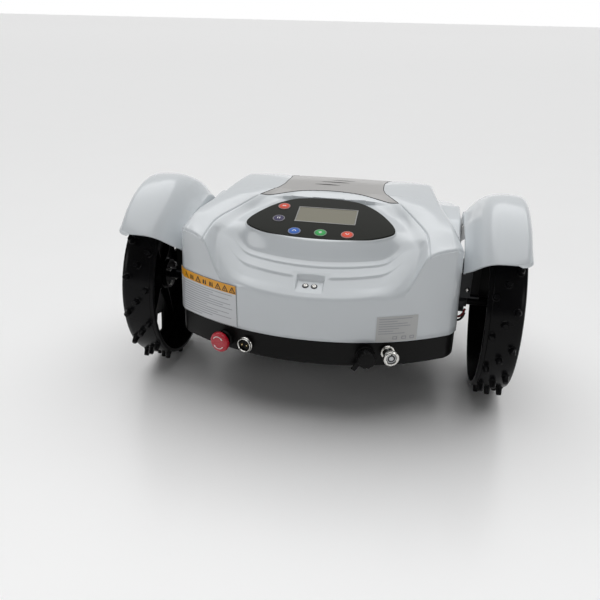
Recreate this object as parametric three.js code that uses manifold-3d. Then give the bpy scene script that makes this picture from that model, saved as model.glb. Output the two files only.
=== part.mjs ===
// Robotic lawn mower: a white two-level cover over a black chassis pan, two large studded drive
// wheels under arched wheel covers at the rear, two swivelling casters and a bumper at the front,
// and a cutting disc with three pivoting blades in a round guard between them.
//
// Millimetres, +Z up, +Y towards the mower's front. Inside this file every place is taken from the
// point on the ground under the drive axle. The group at the end puts that point at AXLE_Y, so
// that the origin is on the ground below the middle of the whole machine.
import * as THREE from "three";
import { mergeVertices } from "three/addons/utils/BufferGeometryUtils.js";
import Module from "manifold-3d";

const wasm = await Module();
wasm.setup();

// ---------------------------------------------------------------- driving dimensions
const AXLE_Y = -133.85;
const AXLE_Z = 120;
const GAP = 0.3; // between pieces that touch

const REAR_R = 256.3; // plan radius of the rear face
const REAR_MID_Y = 98.2; // its centre
const BASE_R = 290; // plan radius of the rear lower edge of the cover and of the pan
const BASE_MID_Y = 139.8;
const SIDE_X = 172.5; // half width of the body between the wheels
const SIDE_END_Y = 110; // where the sides start to draw in towards the nose
const NOSE_R = 200;
const NOSE_Y = 420;
const NOSE_CORNER_X = 130;
const REAR_CORNER_R = 9;
const NOSE_CORNER_R = 26;
const SKIRT_Z = 115; // lower edge of the white cover
const COVER_WALL = 4;
const DRAFT = 4.5; // how far the skirt leans in towards its top, at the rear and the nose
const SIDE_DRAFT = 1.5;

const PANEL_TILT = THREE.MathUtils.degToRad(13.6);
const PANEL_Y = -45; // a point on the control panel's face
const PANEL_Z = 233.4;
const PANEL_T = 2.5;
const LCD = { x: 4.6, w: 73.9, h: 36.1 };
const BUTTON_R = 8;
const BUTTONS = {
  red_upper_button: [-51.6, -29.6],
  purple_button: [-52.4, -59],
  blue_button: [-28, -84.8],
  green_button: [3.3, -84.7],
  red_lower_button: [35.2, -84.6],
};

const PAN_INSET = 1.5;
const PAN_RIM_INSET = 6.3; // the part of its wall that stands inside the cover
const PAN_Z = 83;
const PAN_TOP = 120;
const PAN_T = 3;
const PAN_NOSE_SET_BACK = 20;

const WHEEL_IN = 202; // inner edge of a drive wheel
const WHEEL_OUT = 245;
const TREAD_R = 110;
const STUD_TIP_R = 120;
const STUDS = 45;

const COVER_R = 139; // wheel cover, about the axle
const COVER_REAR_ANGLE = 40.8; // its lower rear edge, above the level of the axle
const COVER_FRONT_ANGLE = 158;

const CASTER = { x: 102, y: 342, trail: 17, r: 28, w: 22 };
const BLADE_Y = 165;
const GUARD_R = 150;
const DISC_Z = 44;

// ---------------------------------------------------------------- helpers
const radians = THREE.MathUtils.degToRad;
const clamp = THREE.MathUtils.clamp;
const mix = THREE.MathUtils.lerp;
const smooth = (t) => THREE.MathUtils.smoothstep(t, 0, 1);

// A smooth line through (place, value) points, level where the values turn round.
function curve(points) {
  const slopes = points.map((p, i) => {
    if (i === 0 || i === points.length - 1) return 0;
    const before = (p[1] - points[i - 1][1]) / (p[0] - points[i - 1][0]);
    const after = (points[i + 1][1] - p[1]) / (points[i + 1][0] - p[0]);
    return before * after <= 0 ? 0 : (2 * before * after) / (before + after);
  });
  const last = points.length - 1;
  slopes[0] = (points[1][1] - points[0][1]) / (points[1][0] - points[0][0]);
  slopes[last] =
    (points[last][1] - points[last - 1][1]) / (points[last][0] - points[last - 1][0]);
  return (x) => {
    if (x <= points[0][0]) return points[0][1] + slopes[0] * (x - points[0][0]);
    if (x >= points[last][0]) return points[last][1] + slopes[last] * (x - points[last][0]);
    const i = points.findIndex((p) => p[0] > x) - 1;
    const [x0, y0] = points[i];
    const [x1, y1] = points[i + 1];
    const h = x1 - x0;
    const t = (x - x0) / h;
    return (
      y0 * (1 + 2 * t) * (1 - t) ** 2 +
      slopes[i] * h * t * (1 - t) ** 2 +
      y1 * t * t * (3 - 2 * t) +
      slopes[i + 1] * h * t * t * (t - 1)
    );
  };
}

// A closed geometry as a manifold-3d solid, and back.
function solid(geometry) {
  const plain = geometry.index ? geometry.toNonIndexed() : geometry.clone();
  plain.deleteAttribute("normal");
  plain.deleteAttribute("uv");
  const merged = mergeVertices(plain, 1e-4);
  return new wasm.Manifold(
    new wasm.Mesh({
      numProp: 3,
      vertProperties: new Float32Array(merged.attributes.position.array),
      triVerts: new Uint32Array(merged.index.array),
    }),
  );
}

function geometryOf(manifold) {
  const raw = manifold.getMesh();
  const geometry = new THREE.BufferGeometry();
  geometry.setAttribute("position", new THREE.BufferAttribute(raw.vertProperties, 3));
  geometry.setIndex(new THREE.BufferAttribute(raw.triVerts, 1));
  geometry.computeVertexNormals();
  return geometry;
}

const union = (solids) => solids.reduce((all, next) => all.add(next));

function material(color, roughness, metalness = 0) {
  return new THREE.MeshStandardMaterial({ color, roughness, metalness });
}

function part(name, shape, mat) {
  const mesh = new THREE.Mesh(shape.isBufferGeometry ? shape : geometryOf(shape), mat);
  mesh.name = name;
  return mesh;
}

function box(low, high) {
  const size = low.map((v, i) => high[i] - v);
  return new THREE.BoxGeometry(...size).translate(...low.map((v, i) => v + size[i] / 2));
}

// A round bar from one place to another along X, Y or Z.
function bar(axis, r, from, to, centre = [0, 0, 0], sides = 24, rEnd = r) {
  const g = new THREE.CylinderGeometry(rEnd, r, to - from, sides);
  if (axis === "x") g.rotateZ(-Math.PI / 2).translate((from + to) / 2, 0, 0);
  if (axis === "y") g.translate(0, (from + to) / 2, 0);
  if (axis === "z") g.rotateX(Math.PI / 2).translate(0, 0, (from + to) / 2);
  return g.translate(...centre);
}

// A body of revolution from [radius, height] points, which close on themselves, about +Z or +X.
function turned(points, sides, axis = "z") {
  const profile = [...points, points[0]].map(([r, h]) => new THREE.Vector2(r, h));
  const g = new THREE.LatheGeometry(profile, sides);
  return axis === "x" ? g.rotateZ(-Math.PI / 2) : g.rotateX(Math.PI / 2);
}

function prism(outline, from, to) {
  const shape = new THREE.Shape(outline.map(([x, y]) => new THREE.Vector2(x, y)));
  const g = new THREE.ExtrudeGeometry(shape, { depth: to - from, bevelEnabled: false });
  return g.translate(0, 0, from);
}

// A closed solid from rows of points: each row is a closed loop, and the ends are capped.
function loft(loops) {
  const n = loops[0].length;
  const positions = loops.flat();
  const index = [];
  for (let i = 0; i < loops.length - 1; i += 1) {
    for (let j = 0; j < n; j += 1) {
      const a = i * n + j;
      const b = i * n + ((j + 1) % n);
      index.push(a, b, b + n, a, b + n, a + n);
    }
  }
  for (const [row, flip] of [
    [0, true],
    [loops.length - 1, false],
  ]) {
    const flat = flatten(loops[row]);
    for (const [a, b, c] of THREE.ShapeUtils.triangulateShape(flat, [])) {
      const face = [row * n + a, row * n + b, row * n + c];
      if (flip) face.reverse();
      index.push(...face);
    }
  }
  return indexed(positions, index);
}

// A loop of points in space as 2-D points in its own plane, for its cap.
function flatten(loop) {
  const p = loop.map((v) => new THREE.Vector3(...v));
  const normal = new THREE.Vector3();
  p.forEach((v, i) => {
    const w = p[(i + 1) % p.length];
    normal.x += (v.y - w.y) * (v.z + w.z);
    normal.y += (v.z - w.z) * (v.x + w.x);
    normal.z += (v.x - w.x) * (v.y + w.y);
  });
  normal.normalize();
  const side = new THREE.Vector3(1, 0, 0);
  if (Math.abs(normal.x) > 0.9) side.set(0, 1, 0);
  const up = new THREE.Vector3().crossVectors(normal, side).normalize();
  side.crossVectors(up, normal);
  return p.map((v) => new THREE.Vector2(v.dot(side), v.dot(up)));
}

function indexed(positions, index) {
  const g = new THREE.BufferGeometry();
  g.setAttribute("position", new THREE.Float32BufferAttribute(positions.flat(), 3));
  g.setIndex(index);
  return volumeOf(g) < 0 ? turnedRound(g) : g;
}

function volumeOf(g) {
  const p = g.attributes.position;
  const corner = [0, 1, 2].map(() => new THREE.Vector3());
  let volume = 0;
  for (let i = 0; i < g.index.count; i += 3) {
    corner.forEach((c, k) => c.fromBufferAttribute(p, g.index.getX(i + k)));
    volume += corner[0].dot(corner[1].clone().cross(corner[2]));
  }
  return volume;
}

function turnedRound(g) {
  return g.setIndex(Array.from(g.index.array).reverse());
}

// ---------------------------------------------------------------- the cover's surface
// Lines along the top, as half widths and heights over Y: the valley beside the control panel,
// the groove along the inside of each shoulder rail, and the rail's outer edge.
const valleyX = curve([[-135, 106], [-123, 110], [-105, 117], [-92, 118], [-78, 110], [-28, 93],
  [0, 78], [20, 66], [50, 58], [113, 60], [220, 64], [340, 52], [420, 32]]);
const grooveX = curve([[-130, 133], [-117, 132], [-80, 128], [-36, 111], [-12, 97], [-3, 91],
  [8, 83], [20, 75], [30, 71], [50, 67.5], [80, 67], [113, 70], [160, 71], [220, 74], [280, 72],
  [340, 62], [420, 40]]);
const railX = curve([[-130, 157], [-99, 156], [-64, 154], [0, 140], [60, 131], [100, 126],
  [150, 120], [220, 114], [300, 106], [372, 95], [420, 85]]);
const crownZ = curve([[-2, 243.8], [21, 247.8], [60, 248.6], [105, 244.6], [150, 235.3], [170, 230.7],
  [200, 223], [250, 208], [300, 193], [350, 177], [390, 163], [420, 150]]);
const valleyZ = curve([[-135, 170], [-123, 185], [-105, 205], [-92, 215], [-78, 222], [-28, 230],
  [-5, 240], [20, 247]]);
const grooveZ = curve([[-130, 212], [-117, 217], [-80, 228], [-36, 235], [-12, 241], [-3, 243.5],
  [20, 247.6]]);
const railZ = curve([[-130, 216], [-117, 218], [-99, 221], [-64, 233], [0, 241], [60, 247],
  [85, 247.2], [110, 243], [150, 233], [200, 219], [300, 188], [372, 165], [420, 148]]);
const shoulderZ = curve([[-110, 212], [-91, 209], [-60, 202], [0, 206], [40, 217], [86, 220],
  [130, 211], [200, 196], [300, 172], [372, 153], [420, 146]]);
const railFall = curve([[-20, 1], [55, 0.32], [150, 0.5], [400, 1]]);

const APRON_FOOT = 5; // distance in from the rear arc where the sloping apron starts
const APRON_TOP = 61; // and where it meets the control panel
const APRON_Z = 168.5;
const APRON_SLOPE = 0.9375;

const rearY = (x) => REAR_MID_Y - Math.sqrt(REAR_R ** 2 - x ** 2);
const baseY = (x) => BASE_MID_Y - Math.sqrt(BASE_R ** 2 - x ** 2);
const noseY = (x) => NOSE_Y - NOSE_R + Math.sqrt(NOSE_R ** 2 - x ** 2);
const panelPlane = (y) => PANEL_Z + Math.tan(PANEL_TILT) * (y - PANEL_Y);

function halfWidth(y) {
  const t = clamp((y - SIDE_END_Y) / (noseY(NOSE_CORNER_X) - SIDE_END_Y), 0, 1);
  return SIDE_X - (SIDE_X - NOSE_CORNER_X) * t ** 1.6;
}

// The lower of two heights, rounded where they meet.
function softMin(p, q, reach) {
  const h = clamp(0.5 + (q - p) / (2 * reach), 0, 1);
  return mix(q, p, h) - reach * h * (1 - h);
}

function deckZ(a, y) {
  if (y >= -2) return crownZ(y);
  const d = REAR_R - Math.hypot(a, y - REAR_MID_Y);
  const lift = 0.0008 * a * a * Math.max(0, 1 - d / APRON_TOP);
  const apron = APRON_Z + APRON_SLOPE * (d - APRON_FOOT) + lift;
  return softMin(apron, panelPlane(y), 2.5);
}

// Height of the cover's outside over the plan.
function topZ(x, y) {
  const a = Math.abs(x);
  const av = valleyX(y);
  const ag = grooveX(y);
  const ao = railX(y);
  const zv = y > 20 ? crownZ(y) - 0.4 : valleyZ(y);
  const zg = y > 20 ? crownZ(y) - 0.8 : grooveZ(y);
  const zo = railZ(y);
  if (a < av) return mix(deckZ(a, y), zv, smooth((a - av + 34) / 34));
  if (a < ag) return mix(zv, zg, smooth((a - av) / (ag - av)));
  if (a < ao) {
    const t = (a - ag) / (ao - ag);
    return mix(zg, zo, t) + 5 * t * (1 - t);
  }
  const t = (a - ao) / (halfWidth(y) - ao);
  return mix(zo, shoulderZ(y), smooth(Math.min(1, t / railFall(y))));
}

// Where a column s (0 the middle, 1 the valley, 2 the groove, 3 the rail's edge, 4 the side)
// crosses row v, which is named by its Y on the centre line and bends with the rear face and the
// nose. Both are set in from the outline.
function planPoint(s, v, side = 0, ends = 0) {
  const row = clamp(v, rearY(0) + ends, NOSE_Y - ends);
  const rear = clamp((100 - row) / 197, 0, 1);
  const nose = clamp((row - 150) / 270, 0, 1);
  const lines = (y) => [0, valleyX(y), grooveX(y), railX(y), halfWidth(y) - side];
  let a = 0;
  let y = row;
  for (let pass = 0; pass < 8; pass += 1) {
    const at = lines(y);
    const k = Math.min(3, Math.floor(Math.abs(s)));
    a = mix(at[k], at[k + 1], Math.abs(s) - k);
    y = row + rear * (rearY(a) - rearY(0)) + nose * (noseY(a) - noseY(0));
  }
  const round = cornerShift(halfWidth(y) - side - a, row, ends, y, a);
  return { x: Math.sign(s) * (a - round.x), y: y + round.y, a, flatY: y };
}

// How far a point moves in where the rear or nose corner is rounded in plan.
function cornerShift(fromSide, row, ends, y, a) {
  const rear = row < REAR_MID_Y;
  const r = rear ? REAR_CORNER_R : NOSE_CORNER_R;
  const fromEnd = rear
    ? REAR_R - Math.hypot(a, y - REAR_MID_Y) - ends
    : NOSE_R - Math.hypot(a, y - NOSE_Y + NOSE_R) - ends;
  if (fromSide >= r || fromEnd >= r) return { x: 0, y: 0 };
  const u = 1 - Math.max(0, fromSide) / r;
  const w = 1 - Math.max(0, fromEnd) / r;
  const p = r * (u - u * Math.sqrt(1 - w * w / 2));
  const q = r * (w - w * Math.sqrt(1 - u * u / 2));
  return { x: p, y: rear ? q : -q };
}

const HALF_COLUMNS = [0.6, 1, 2, 3, 3.3, 4];
const COLUMNS = [...HALF_COLUMNS.map((s) => -s).reverse(), 0, ...HALF_COLUMNS];
const ROWS = [-158.1, -149, -121, -97, -70, -40, -10, 21, 60, 95, 115, 150, 200, 250, 300, 350,
  390, 420];

// A closed block under the cover's surface, set in by wall and lowered by drop.
function coverBlock(wall, drop, floor) {
  const ends = DRAFT + wall;
  const side = SIDE_DRAFT + wall;
  const positions = [];
  const index = [];
  const nc = COLUMNS.length;
  for (const v of ROWS) {
    for (const s of COLUMNS) {
      const p = planPoint(s, v, side, ends);
      positions.push([p.x, p.y, topZ(p.a, p.flatY) - drop]);
    }
  }
  const rim = rimOf(ROWS.length, nc);
  const start = positions.length;
  rim.forEach(([i, j]) => {
    const p = planPoint(COLUMNS[j], ROWS[i], side - SIDE_DRAFT, ends - DRAFT);
    positions.push([...toBase(p), floor]);
  });
  for (let i = 0; i < ROWS.length - 1; i += 1) {
    for (let j = 0; j < nc - 1; j += 1) {
      const a = i * nc + j;
      index.push(a, a + 1, a + nc + 1, a, a + nc + 1, a + nc);
    }
  }
  rim.forEach(([i, j], k) => {
    const [ni, nj] = rim[(k + 1) % rim.length];
    const top = i * nc + j;
    const topNext = ni * nc + nj;
    const low = start + k;
    const lowNext = start + ((k + 1) % rim.length);
    index.push(top, low, lowNext, top, lowNext, topNext);
  });
  const flat = rim.map((_, k) => new THREE.Vector2(...positions[start + k]));
  for (const [a, b, c] of THREE.ShapeUtils.triangulateShape(flat, [])) {
    index.push(start + c, start + b, start + a);
  }
  return indexed(positions, index);
}

// The grid's edge as [row, column] pairs, once round: rear, right side, nose, left side.
function rimOf(rows, columns) {
  const rim = [];
  for (let j = 0; j < columns; j += 1) rim.push([0, j]);
  for (let i = 1; i < rows; i += 1) rim.push([i, columns - 1]);
  for (let j = columns - 2; j >= 0; j -= 1) rim.push([rows - 1, j]);
  for (let i = rows - 2; i > 0; i -= 1) rim.push([i, 0]);
  return rim;
}

// The body's lower edges bend less across the rear than the cover's top does.
function toBase({ x, y }) {
  const share = clamp((-60 - y) / 30, 0, 1);
  return [x, y + share * (baseY(x) - rearY(x))];
}

// The body's plan outline, set in from the skirt's lower edge.
function outline(inset, noseInset = inset) {
  return rimOf(ROWS.length, COLUMNS.length).map(([i, j]) => {
    const row = ROWS[i] > 300 ? Math.min(ROWS[i], NOSE_Y - noseInset) : ROWS[i];
    return toBase(planPoint(COLUMNS[j], row, inset, inset));
  });
}

// ---------------------------------------------------------------- places on the body
// The control panel's own frame: X to the right, Y up its slope, Z out of its face.
function panelGroup() {
  const group = new THREE.Group();
  group.position.set(0, PANEL_Y, PANEL_Z);
  group.rotation.x = PANEL_TILT;
  return group;
}

const onPanel = ([x, y]) => [x, (y - PANEL_Y) / Math.cos(PANEL_TILT)];

function inPanelFrame(shape) {
  return shape.applyMatrix4(
    new THREE.Matrix4()
      .makeTranslation(0, PANEL_Y, PANEL_Z)
      .multiply(new THREE.Matrix4().makeRotationX(PANEL_TILT)),
  );
}

// The panel's outline: a lens with its widest place low, mirrored about its middle.
function panelOutline(grow = 0, count = 28) {
  const right = [[0, -97.5], [38, -95.5], [64, -89.5], [84, -79], [90, -69], [84, -52], [66, -27],
    [44, -10], [22, -4.2]];
  const left = right.slice(1).reverse().map(([x, y]) => [-x, y]);
  const points = [...right, [0, -3], ...left].map((p) => new THREE.Vector2(...onPanel(p)));
  const line = new THREE.SplineCurve([...points, points[0]]);
  const ring = line.getPoints(count).slice(0, count);
  return ring.map((p) => [p.x * (1 + grow / 90), p.y * (1 + grow / 48) + (grow * 5.6) / 48]);
}

// A fitting on the rear of the pan: its frame has -Y pointing out of the curved wall.
const FITTING_R = BASE_R - PAN_INSET;
function fittingMatrix(x, z) {
  const turn = Math.asin(x / FITTING_R);
  return new THREE.Matrix4()
    .makeTranslation(x, BASE_MID_Y - FITTING_R * Math.cos(turn), z)
    .multiply(new THREE.Matrix4().makeRotationZ(turn));
}

const FITTINGS = {
  stop: { x: -102.5, z: 95.5, hole: 7.4 },
  socket: { x: -73.3, z: 97, hole: 7.6 },
  service: { x: 68.5, z: 100, hole: 8 },
  lock: { x: 93.4, z: 103, hole: 7 },
};

function fitting(key) {
  const group = new THREE.Group();
  group.applyMatrix4(fittingMatrix(FITTINGS[key].x, FITTINGS[key].z));
  return group;
}

// ---------------------------------------------------------------- cover and what sits in it
const RAIN = { x: 1, w: 31, y: -137.5 };

function rainRecess(wall) {
  const half = RAIN.w / 2 + wall;
  const profile = [[-170, 163 - wall], [-149, 172.6 - wall], [-131 + wall, 180 - wall],
    [-128.5 + wall, 192 + 4 * wall], [-128.5 + wall, 235], [-170, 235]];
  const g = prism(profile, -half, half);
  g.applyMatrix4(new THREE.Matrix4().set(0, 0, 1, RAIN.x, 1, 0, 0, 0, 0, 1, 0, 0, 0, 0, 0, 1));
  return g;
}

// The grey insert on the hood: rows of its plan, from the arched rear edge to the round front.
const INSERT_END = 338;
function insertBlock(top, bottom, grow) {
  const rows = 11;
  const columns = 6;
  const up = [];
  const down = [];
  for (let i = 0; i <= rows; i += 1) {
    for (let j = 0; j <= columns; j += 1) {
      const u = (2 * j) / columns - 1;
      const t = i / rows;
      const start = 21 - 23 * u * u - grow;
      const end = INSERT_END - 26 * u * u + grow;
      const y = mix(start, end, t);
      const x = u * (grooveX(y) + grow - 1);
      const z = topZ(x, y);
      up.push([x, y, z + top]);
      down.push([x, y, z + bottom]);
    }
  }
  const n = columns + 1;
  const under = up.length;
  const index = [];
  for (let i = 0; i < rows; i += 1) {
    for (let j = 0; j < columns; j += 1) {
      const a = i * n + j;
      index.push(a, a + 1, a + n + 1, a, a + n + 1, a + n);
      index.push(under + a + n, under + a + n + 1, under + a);
      index.push(under + a + n + 1, under + a + 1, under + a);
    }
  }
  const rim = rimOf(rows + 1, n).map(([i, j]) => i * n + j);
  rim.forEach((a, k) => {
    const b = rim[(k + 1) % rim.length];
    index.push(a, under + a, under + b, a, under + b, b);
  });
  return indexed([...up, ...down], index);
}

const SLITS = [
  { x: -7, y: 52, w: 36 },
  { x: 0, y: 66, w: 40 },
  { x: 7, y: 80, w: 34 },
];

function slit({ x, y, w }) {
  const shape = bar("z", 2.2, 0, 30, [0, 0, 0], 12).scale(w / 4.4, 1, 1);
  return shape.translate(x, y, 238);
}

function topCover() {
  const shell = solid(coverBlock(0, 0, SKIRT_Z))
    .subtract(solid(coverBlock(COVER_WALL, COVER_WALL + 0.8, SKIRT_Z - 20)))
    .add(solid(rainRecess(3)).intersect(solid(coverBlock(1, 0, SKIRT_Z + 1))));
  const panelPocket = inPanelFrame(prism(panelOutline(0.6), -PANEL_T - GAP, 12));
  const panelWindow = inPanelFrame(prism(panelOutline(-3), -30, 0));
  const cuts = [
    rainRecess(0),
    panelPocket,
    panelWindow,
    insertBlock(12, -2.2 - GAP, 0.6),
    ...RAIN_PINS.map((dx) => onRainFloor(bar("z", 1.5, -12, 4, [0, 0, 0], 10), dx)),
    onRainFloor(box([-9.4, -5.4, -30], [9.4, 5.4, -5.2]), 0),
    ...[-1, 1].map((side) => box([side < 0 ? -180 : 160, -42, 100], [side < 0 ? -160 : 180, 42, 190])),
  ];
  return cuts.reduce((body, cut) => body.subtract(solid(cut)), shell);
}

function hoodInsert() {
  return SLITS.reduce((body, s) => body.subtract(solid(slit(s))), solid(insertBlock(0, -2.2, 0)));
}

function controlPanel() {
  let body = solid(prism(panelOutline(), -PANEL_T, 0));
  const window = onPanel([LCD.x, PANEL_Y]);
  const half = [LCD.w / 2 + GAP, LCD.h / 2 + GAP];
  const hole = box([window[0] - half[0], -half[1], -9], [window[0] + half[0], half[1], 9]);
  body = body.subtract(solid(hole));
  for (const place of Object.values(BUTTONS)) {
    body = body.subtract(solid(bar("z", BUTTON_R + GAP, -9, 9, [...onPanel(place), 0], 12)));
  }
  return body;
}

const BUTTON_TRAVEL = 0.8;
function button() {
  const profile = [[0, -3.2], [6, -3.2], [6, -2.4], [BUTTON_R, -2.4], [BUTTON_R, 0.4],
    [0, 1.2]];
  return turned(profile, 12);
}

function lcdScreen() {
  return box([LCD.x - LCD.w / 2, -LCD.h / 2, -PANEL_T - 1.5], [LCD.x + LCD.w / 2, LCD.h / 2, -0.4]);
}

// The circuit board under the panel, with the display's frame and a switch under each button.
function displayBoard() {
  const deck = -PANEL_T - 9;
  const board = box([-58, -45.5, deck - 1.6], [58, 22, deck]);
  const frame = box([LCD.x - 40, -20, deck - 0.2], [LCD.x + 40, 20, -PANEL_T - 1.5 - GAP]);
  const bases = Object.values(BUTTONS).map((place) => {
    const [x, y] = onPanel(place);
    return box([x - 3, y - 3, deck - 0.2], [x + 3, y + 3, -3.2 - BUTTON_TRAVEL - 0.4]);
  });
  return union([board, frame, ...bases].map(solid));
}

// Places on the rain recess's floor: X across, -Y down the floor, Z out of it.
const FLOOR_SLOPE = Math.atan((180 - 172.6) / (149 - 131));
const RAIN_PINS = [-5, 5];
function onRainFloor(shape, dx) {
  const z = 172.6 + Math.tan(FLOOR_SLOPE) * (RAIN.y + 149);
  return shape.rotateX(FLOOR_SLOPE).translate(RAIN.x + dx, RAIN.y, z);
}

// Two contact screws on the recess's floor, held by a terminal block under it.
function rainSensor() {
  const block = onRainFloor(box([-9, -5, -9], [9, 5, -5.5]), 0);
  const screws = RAIN_PINS.flatMap((dx) => [
    onRainFloor(turned([[0, GAP], [2.7, GAP], [2.7, 1.1], [1.6, 1.7], [0, 1.7]], 14), dx),
    onRainFloor(bar("z", 1.2, -6, GAP + 0.2, [0, 0, 0], 10), dx),
  ]);
  return union([block, ...screws].map(solid));
}

const LABEL_OUT = 1.6;
const LABEL_T = 0.4;
// A thin label on the curved rear skirt, from column to column and from height to height.
function skirtLabel(sign, from, to, low, high) {
  const steps = 8;
  const loops = [];
  for (let i = 0; i <= steps; i += 1) {
    const a = mix(from, to, i / steps);
    const corner = (z, out) => {
      const up = (z - SKIRT_Z) / (topZ(a, rearY(a) + DRAFT) - SKIRT_Z);
      const topEdge = REAR_MID_Y - Math.sqrt((REAR_R - DRAFT) ** 2 - a ** 2);
      const turn = Math.asin(a / REAR_R);
      const y = mix(baseY(a), topEdge, up) - out * Math.cos(turn);
      return [sign * (a + out * Math.sin(turn)), y, z];
    };
    loops.push([corner(low, LABEL_OUT), corner(low, LABEL_OUT + LABEL_T), corner(high, LABEL_OUT + LABEL_T),
      corner(high, LABEL_OUT)]);
  }
  return loft(loops);
}

// ---------------------------------------------------------------- wheel covers
// The arch in section: [X, radius behind the axle, radius ahead of it], all about the axle.
const ARCH = [[173.2, 97, 97], [173.2, 101, 115], [178, 106, 119], [182, 111, 124],
  [187, 119.5, 129], [192, 127.5, 133.5], [199, 134.5, 136.5], [206, 138, 138.2],
  [217, COVER_R + 0.6, COVER_R + 0.6], [235, COVER_R - 0.2, COVER_R - 0.2], [241.5, 136, 136],
  [245, 130, 130], [246, 121, 121], [246, 112.5, 112.5]];
const ARCH_INSIDE = [[243.2, 112.5, 112.5], [243.2, 121, 121], [242, 128.5, 128.5], [239, 133, 133],
  [217, 136.4, 136.4], [206, 135, 135], [200, 132, 133.5], [194, 126, 131], [188, 117, 126],
  [184, 110, 121.5], [180, 104.5, 117], [176.2, 99.5, 113.5], [176.2, 97, 97]];

function wheelCover(side) {
  const steps = 11;
  const loops = [];
  for (let i = 0; i <= steps; i += 1) {
    const angle = mix(COVER_REAR_ANGLE, COVER_FRONT_ANGLE, i / steps);
    const ahead = smooth((angle - 90) / 30);
    loops.push(
      [...ARCH, ...ARCH_INSIDE].map(([x, behind, front]) => {
        const r = mix(behind, front, ahead);
        const turn = radians(angle);
        return [side * x, -r * Math.cos(turn), AXLE_Z + r * Math.sin(turn)];
      }),
    );
  }
  return solid(loft(loops));
}

// ---------------------------------------------------------------- drive wheels
// Wheels are modelled with their outer face towards +X and placed by a group.
const WEB_X = 238;
const WINDOWS = 3;
const WINDOW_PHASE = radians(11);

function driveWheel() {
  const rim = turned([[TREAD_R - 4.5, WHEEL_IN], [TREAD_R, WHEEL_IN + 2],
    [TREAD_R, WHEEL_OUT - 5], [TREAD_R - 3, WHEEL_OUT], [TREAD_R - 9, WHEEL_OUT],
    [TREAD_R - 13, WEB_X + 3.5], [24, WEB_X + 3.5], [22, WHEEL_OUT + 1], [0, WHEEL_OUT + 2],
    [0, WEB_X - 12], [22, WEB_X - 12], [24, WEB_X], [TREAD_R - 9, WEB_X],
    [TREAD_R - 4.5, WEB_X - 6]], 36, "x");
  let wheel = solid(rim);
  for (let i = 0; i < WINDOWS; i += 1) {
    wheel = wheel.subtract(solid(wheelWindow(WINDOW_PHASE + (i * 2 * Math.PI) / WINDOWS)));
  }
  const studs = [];
  for (let k = 0; k < STUDS; k += 1) studs.push(solid(stud(k)));
  return wheel.add(union(studs));
}

function wheelWindow(turn) {
  const shape = new THREE.Shape();
  const half = radians(10);
  shape.absarc(0, 0, TREAD_R - 22, -half, half, false);
  shape.absarc(0, 0, 60, half, -half, true);
  const g = new THREE.ExtrudeGeometry(shape, { depth: 20, bevelEnabled: false, curveSegments: 2 });
  g.rotateZ(turn).rotateY(Math.PI / 2);
  return g.translate(WEB_X - 8, 0, 0);
}

// Studs stand in slanting rows of three across the tread.
function stud(k) {
  const across = [WHEEL_OUT - 9, (WHEEL_IN + WHEEL_OUT) / 2, WHEEL_IN + 9][k % 3];
  const g = bar("z", 3.9, TREAD_R - 2, STUD_TIP_R, [0, 0, 0], 4, 2.9);
  g.translate(across, 0, 0);
  return g.rotateX((k * 2 * Math.PI) / STUDS);
}

function hub() {
  const end = WEB_X - 12 - GAP;
  const shaft = bar("x", 6, 188, end - 4, [0, 0, 0], 20);
  const flange = bar("x", 20, end - 5, end, [0, 0, 0], 28);
  return solid(shaft).add(solid(flange));
}

function wheelGroup(side, prefix, mats) {
  const group = new THREE.Group();
  group.position.set(0, 0, AXLE_Z);
  if (side < 0) group.rotation.z = Math.PI;
  group.add(part(prefix + "wheel", driveWheel(), mats.tyre));
  group.add(part(prefix + "hub", hub(), mats.steel));
  return group;
}

// ---------------------------------------------------------------- chassis
function stemPlaces() {
  return [-1, 1].map((side) => [side * CASTER.x, CASTER.y]);
}

const GUIDE_R = 50;
const GUIDES = [90, 210, 330].map((deg) => [
  GUIDE_R * Math.cos(radians(deg)),
  BLADE_Y + GUIDE_R * Math.sin(radians(deg)),
]);
const HATCH = { low: [-88, -112], high: [88, -12] };

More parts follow.
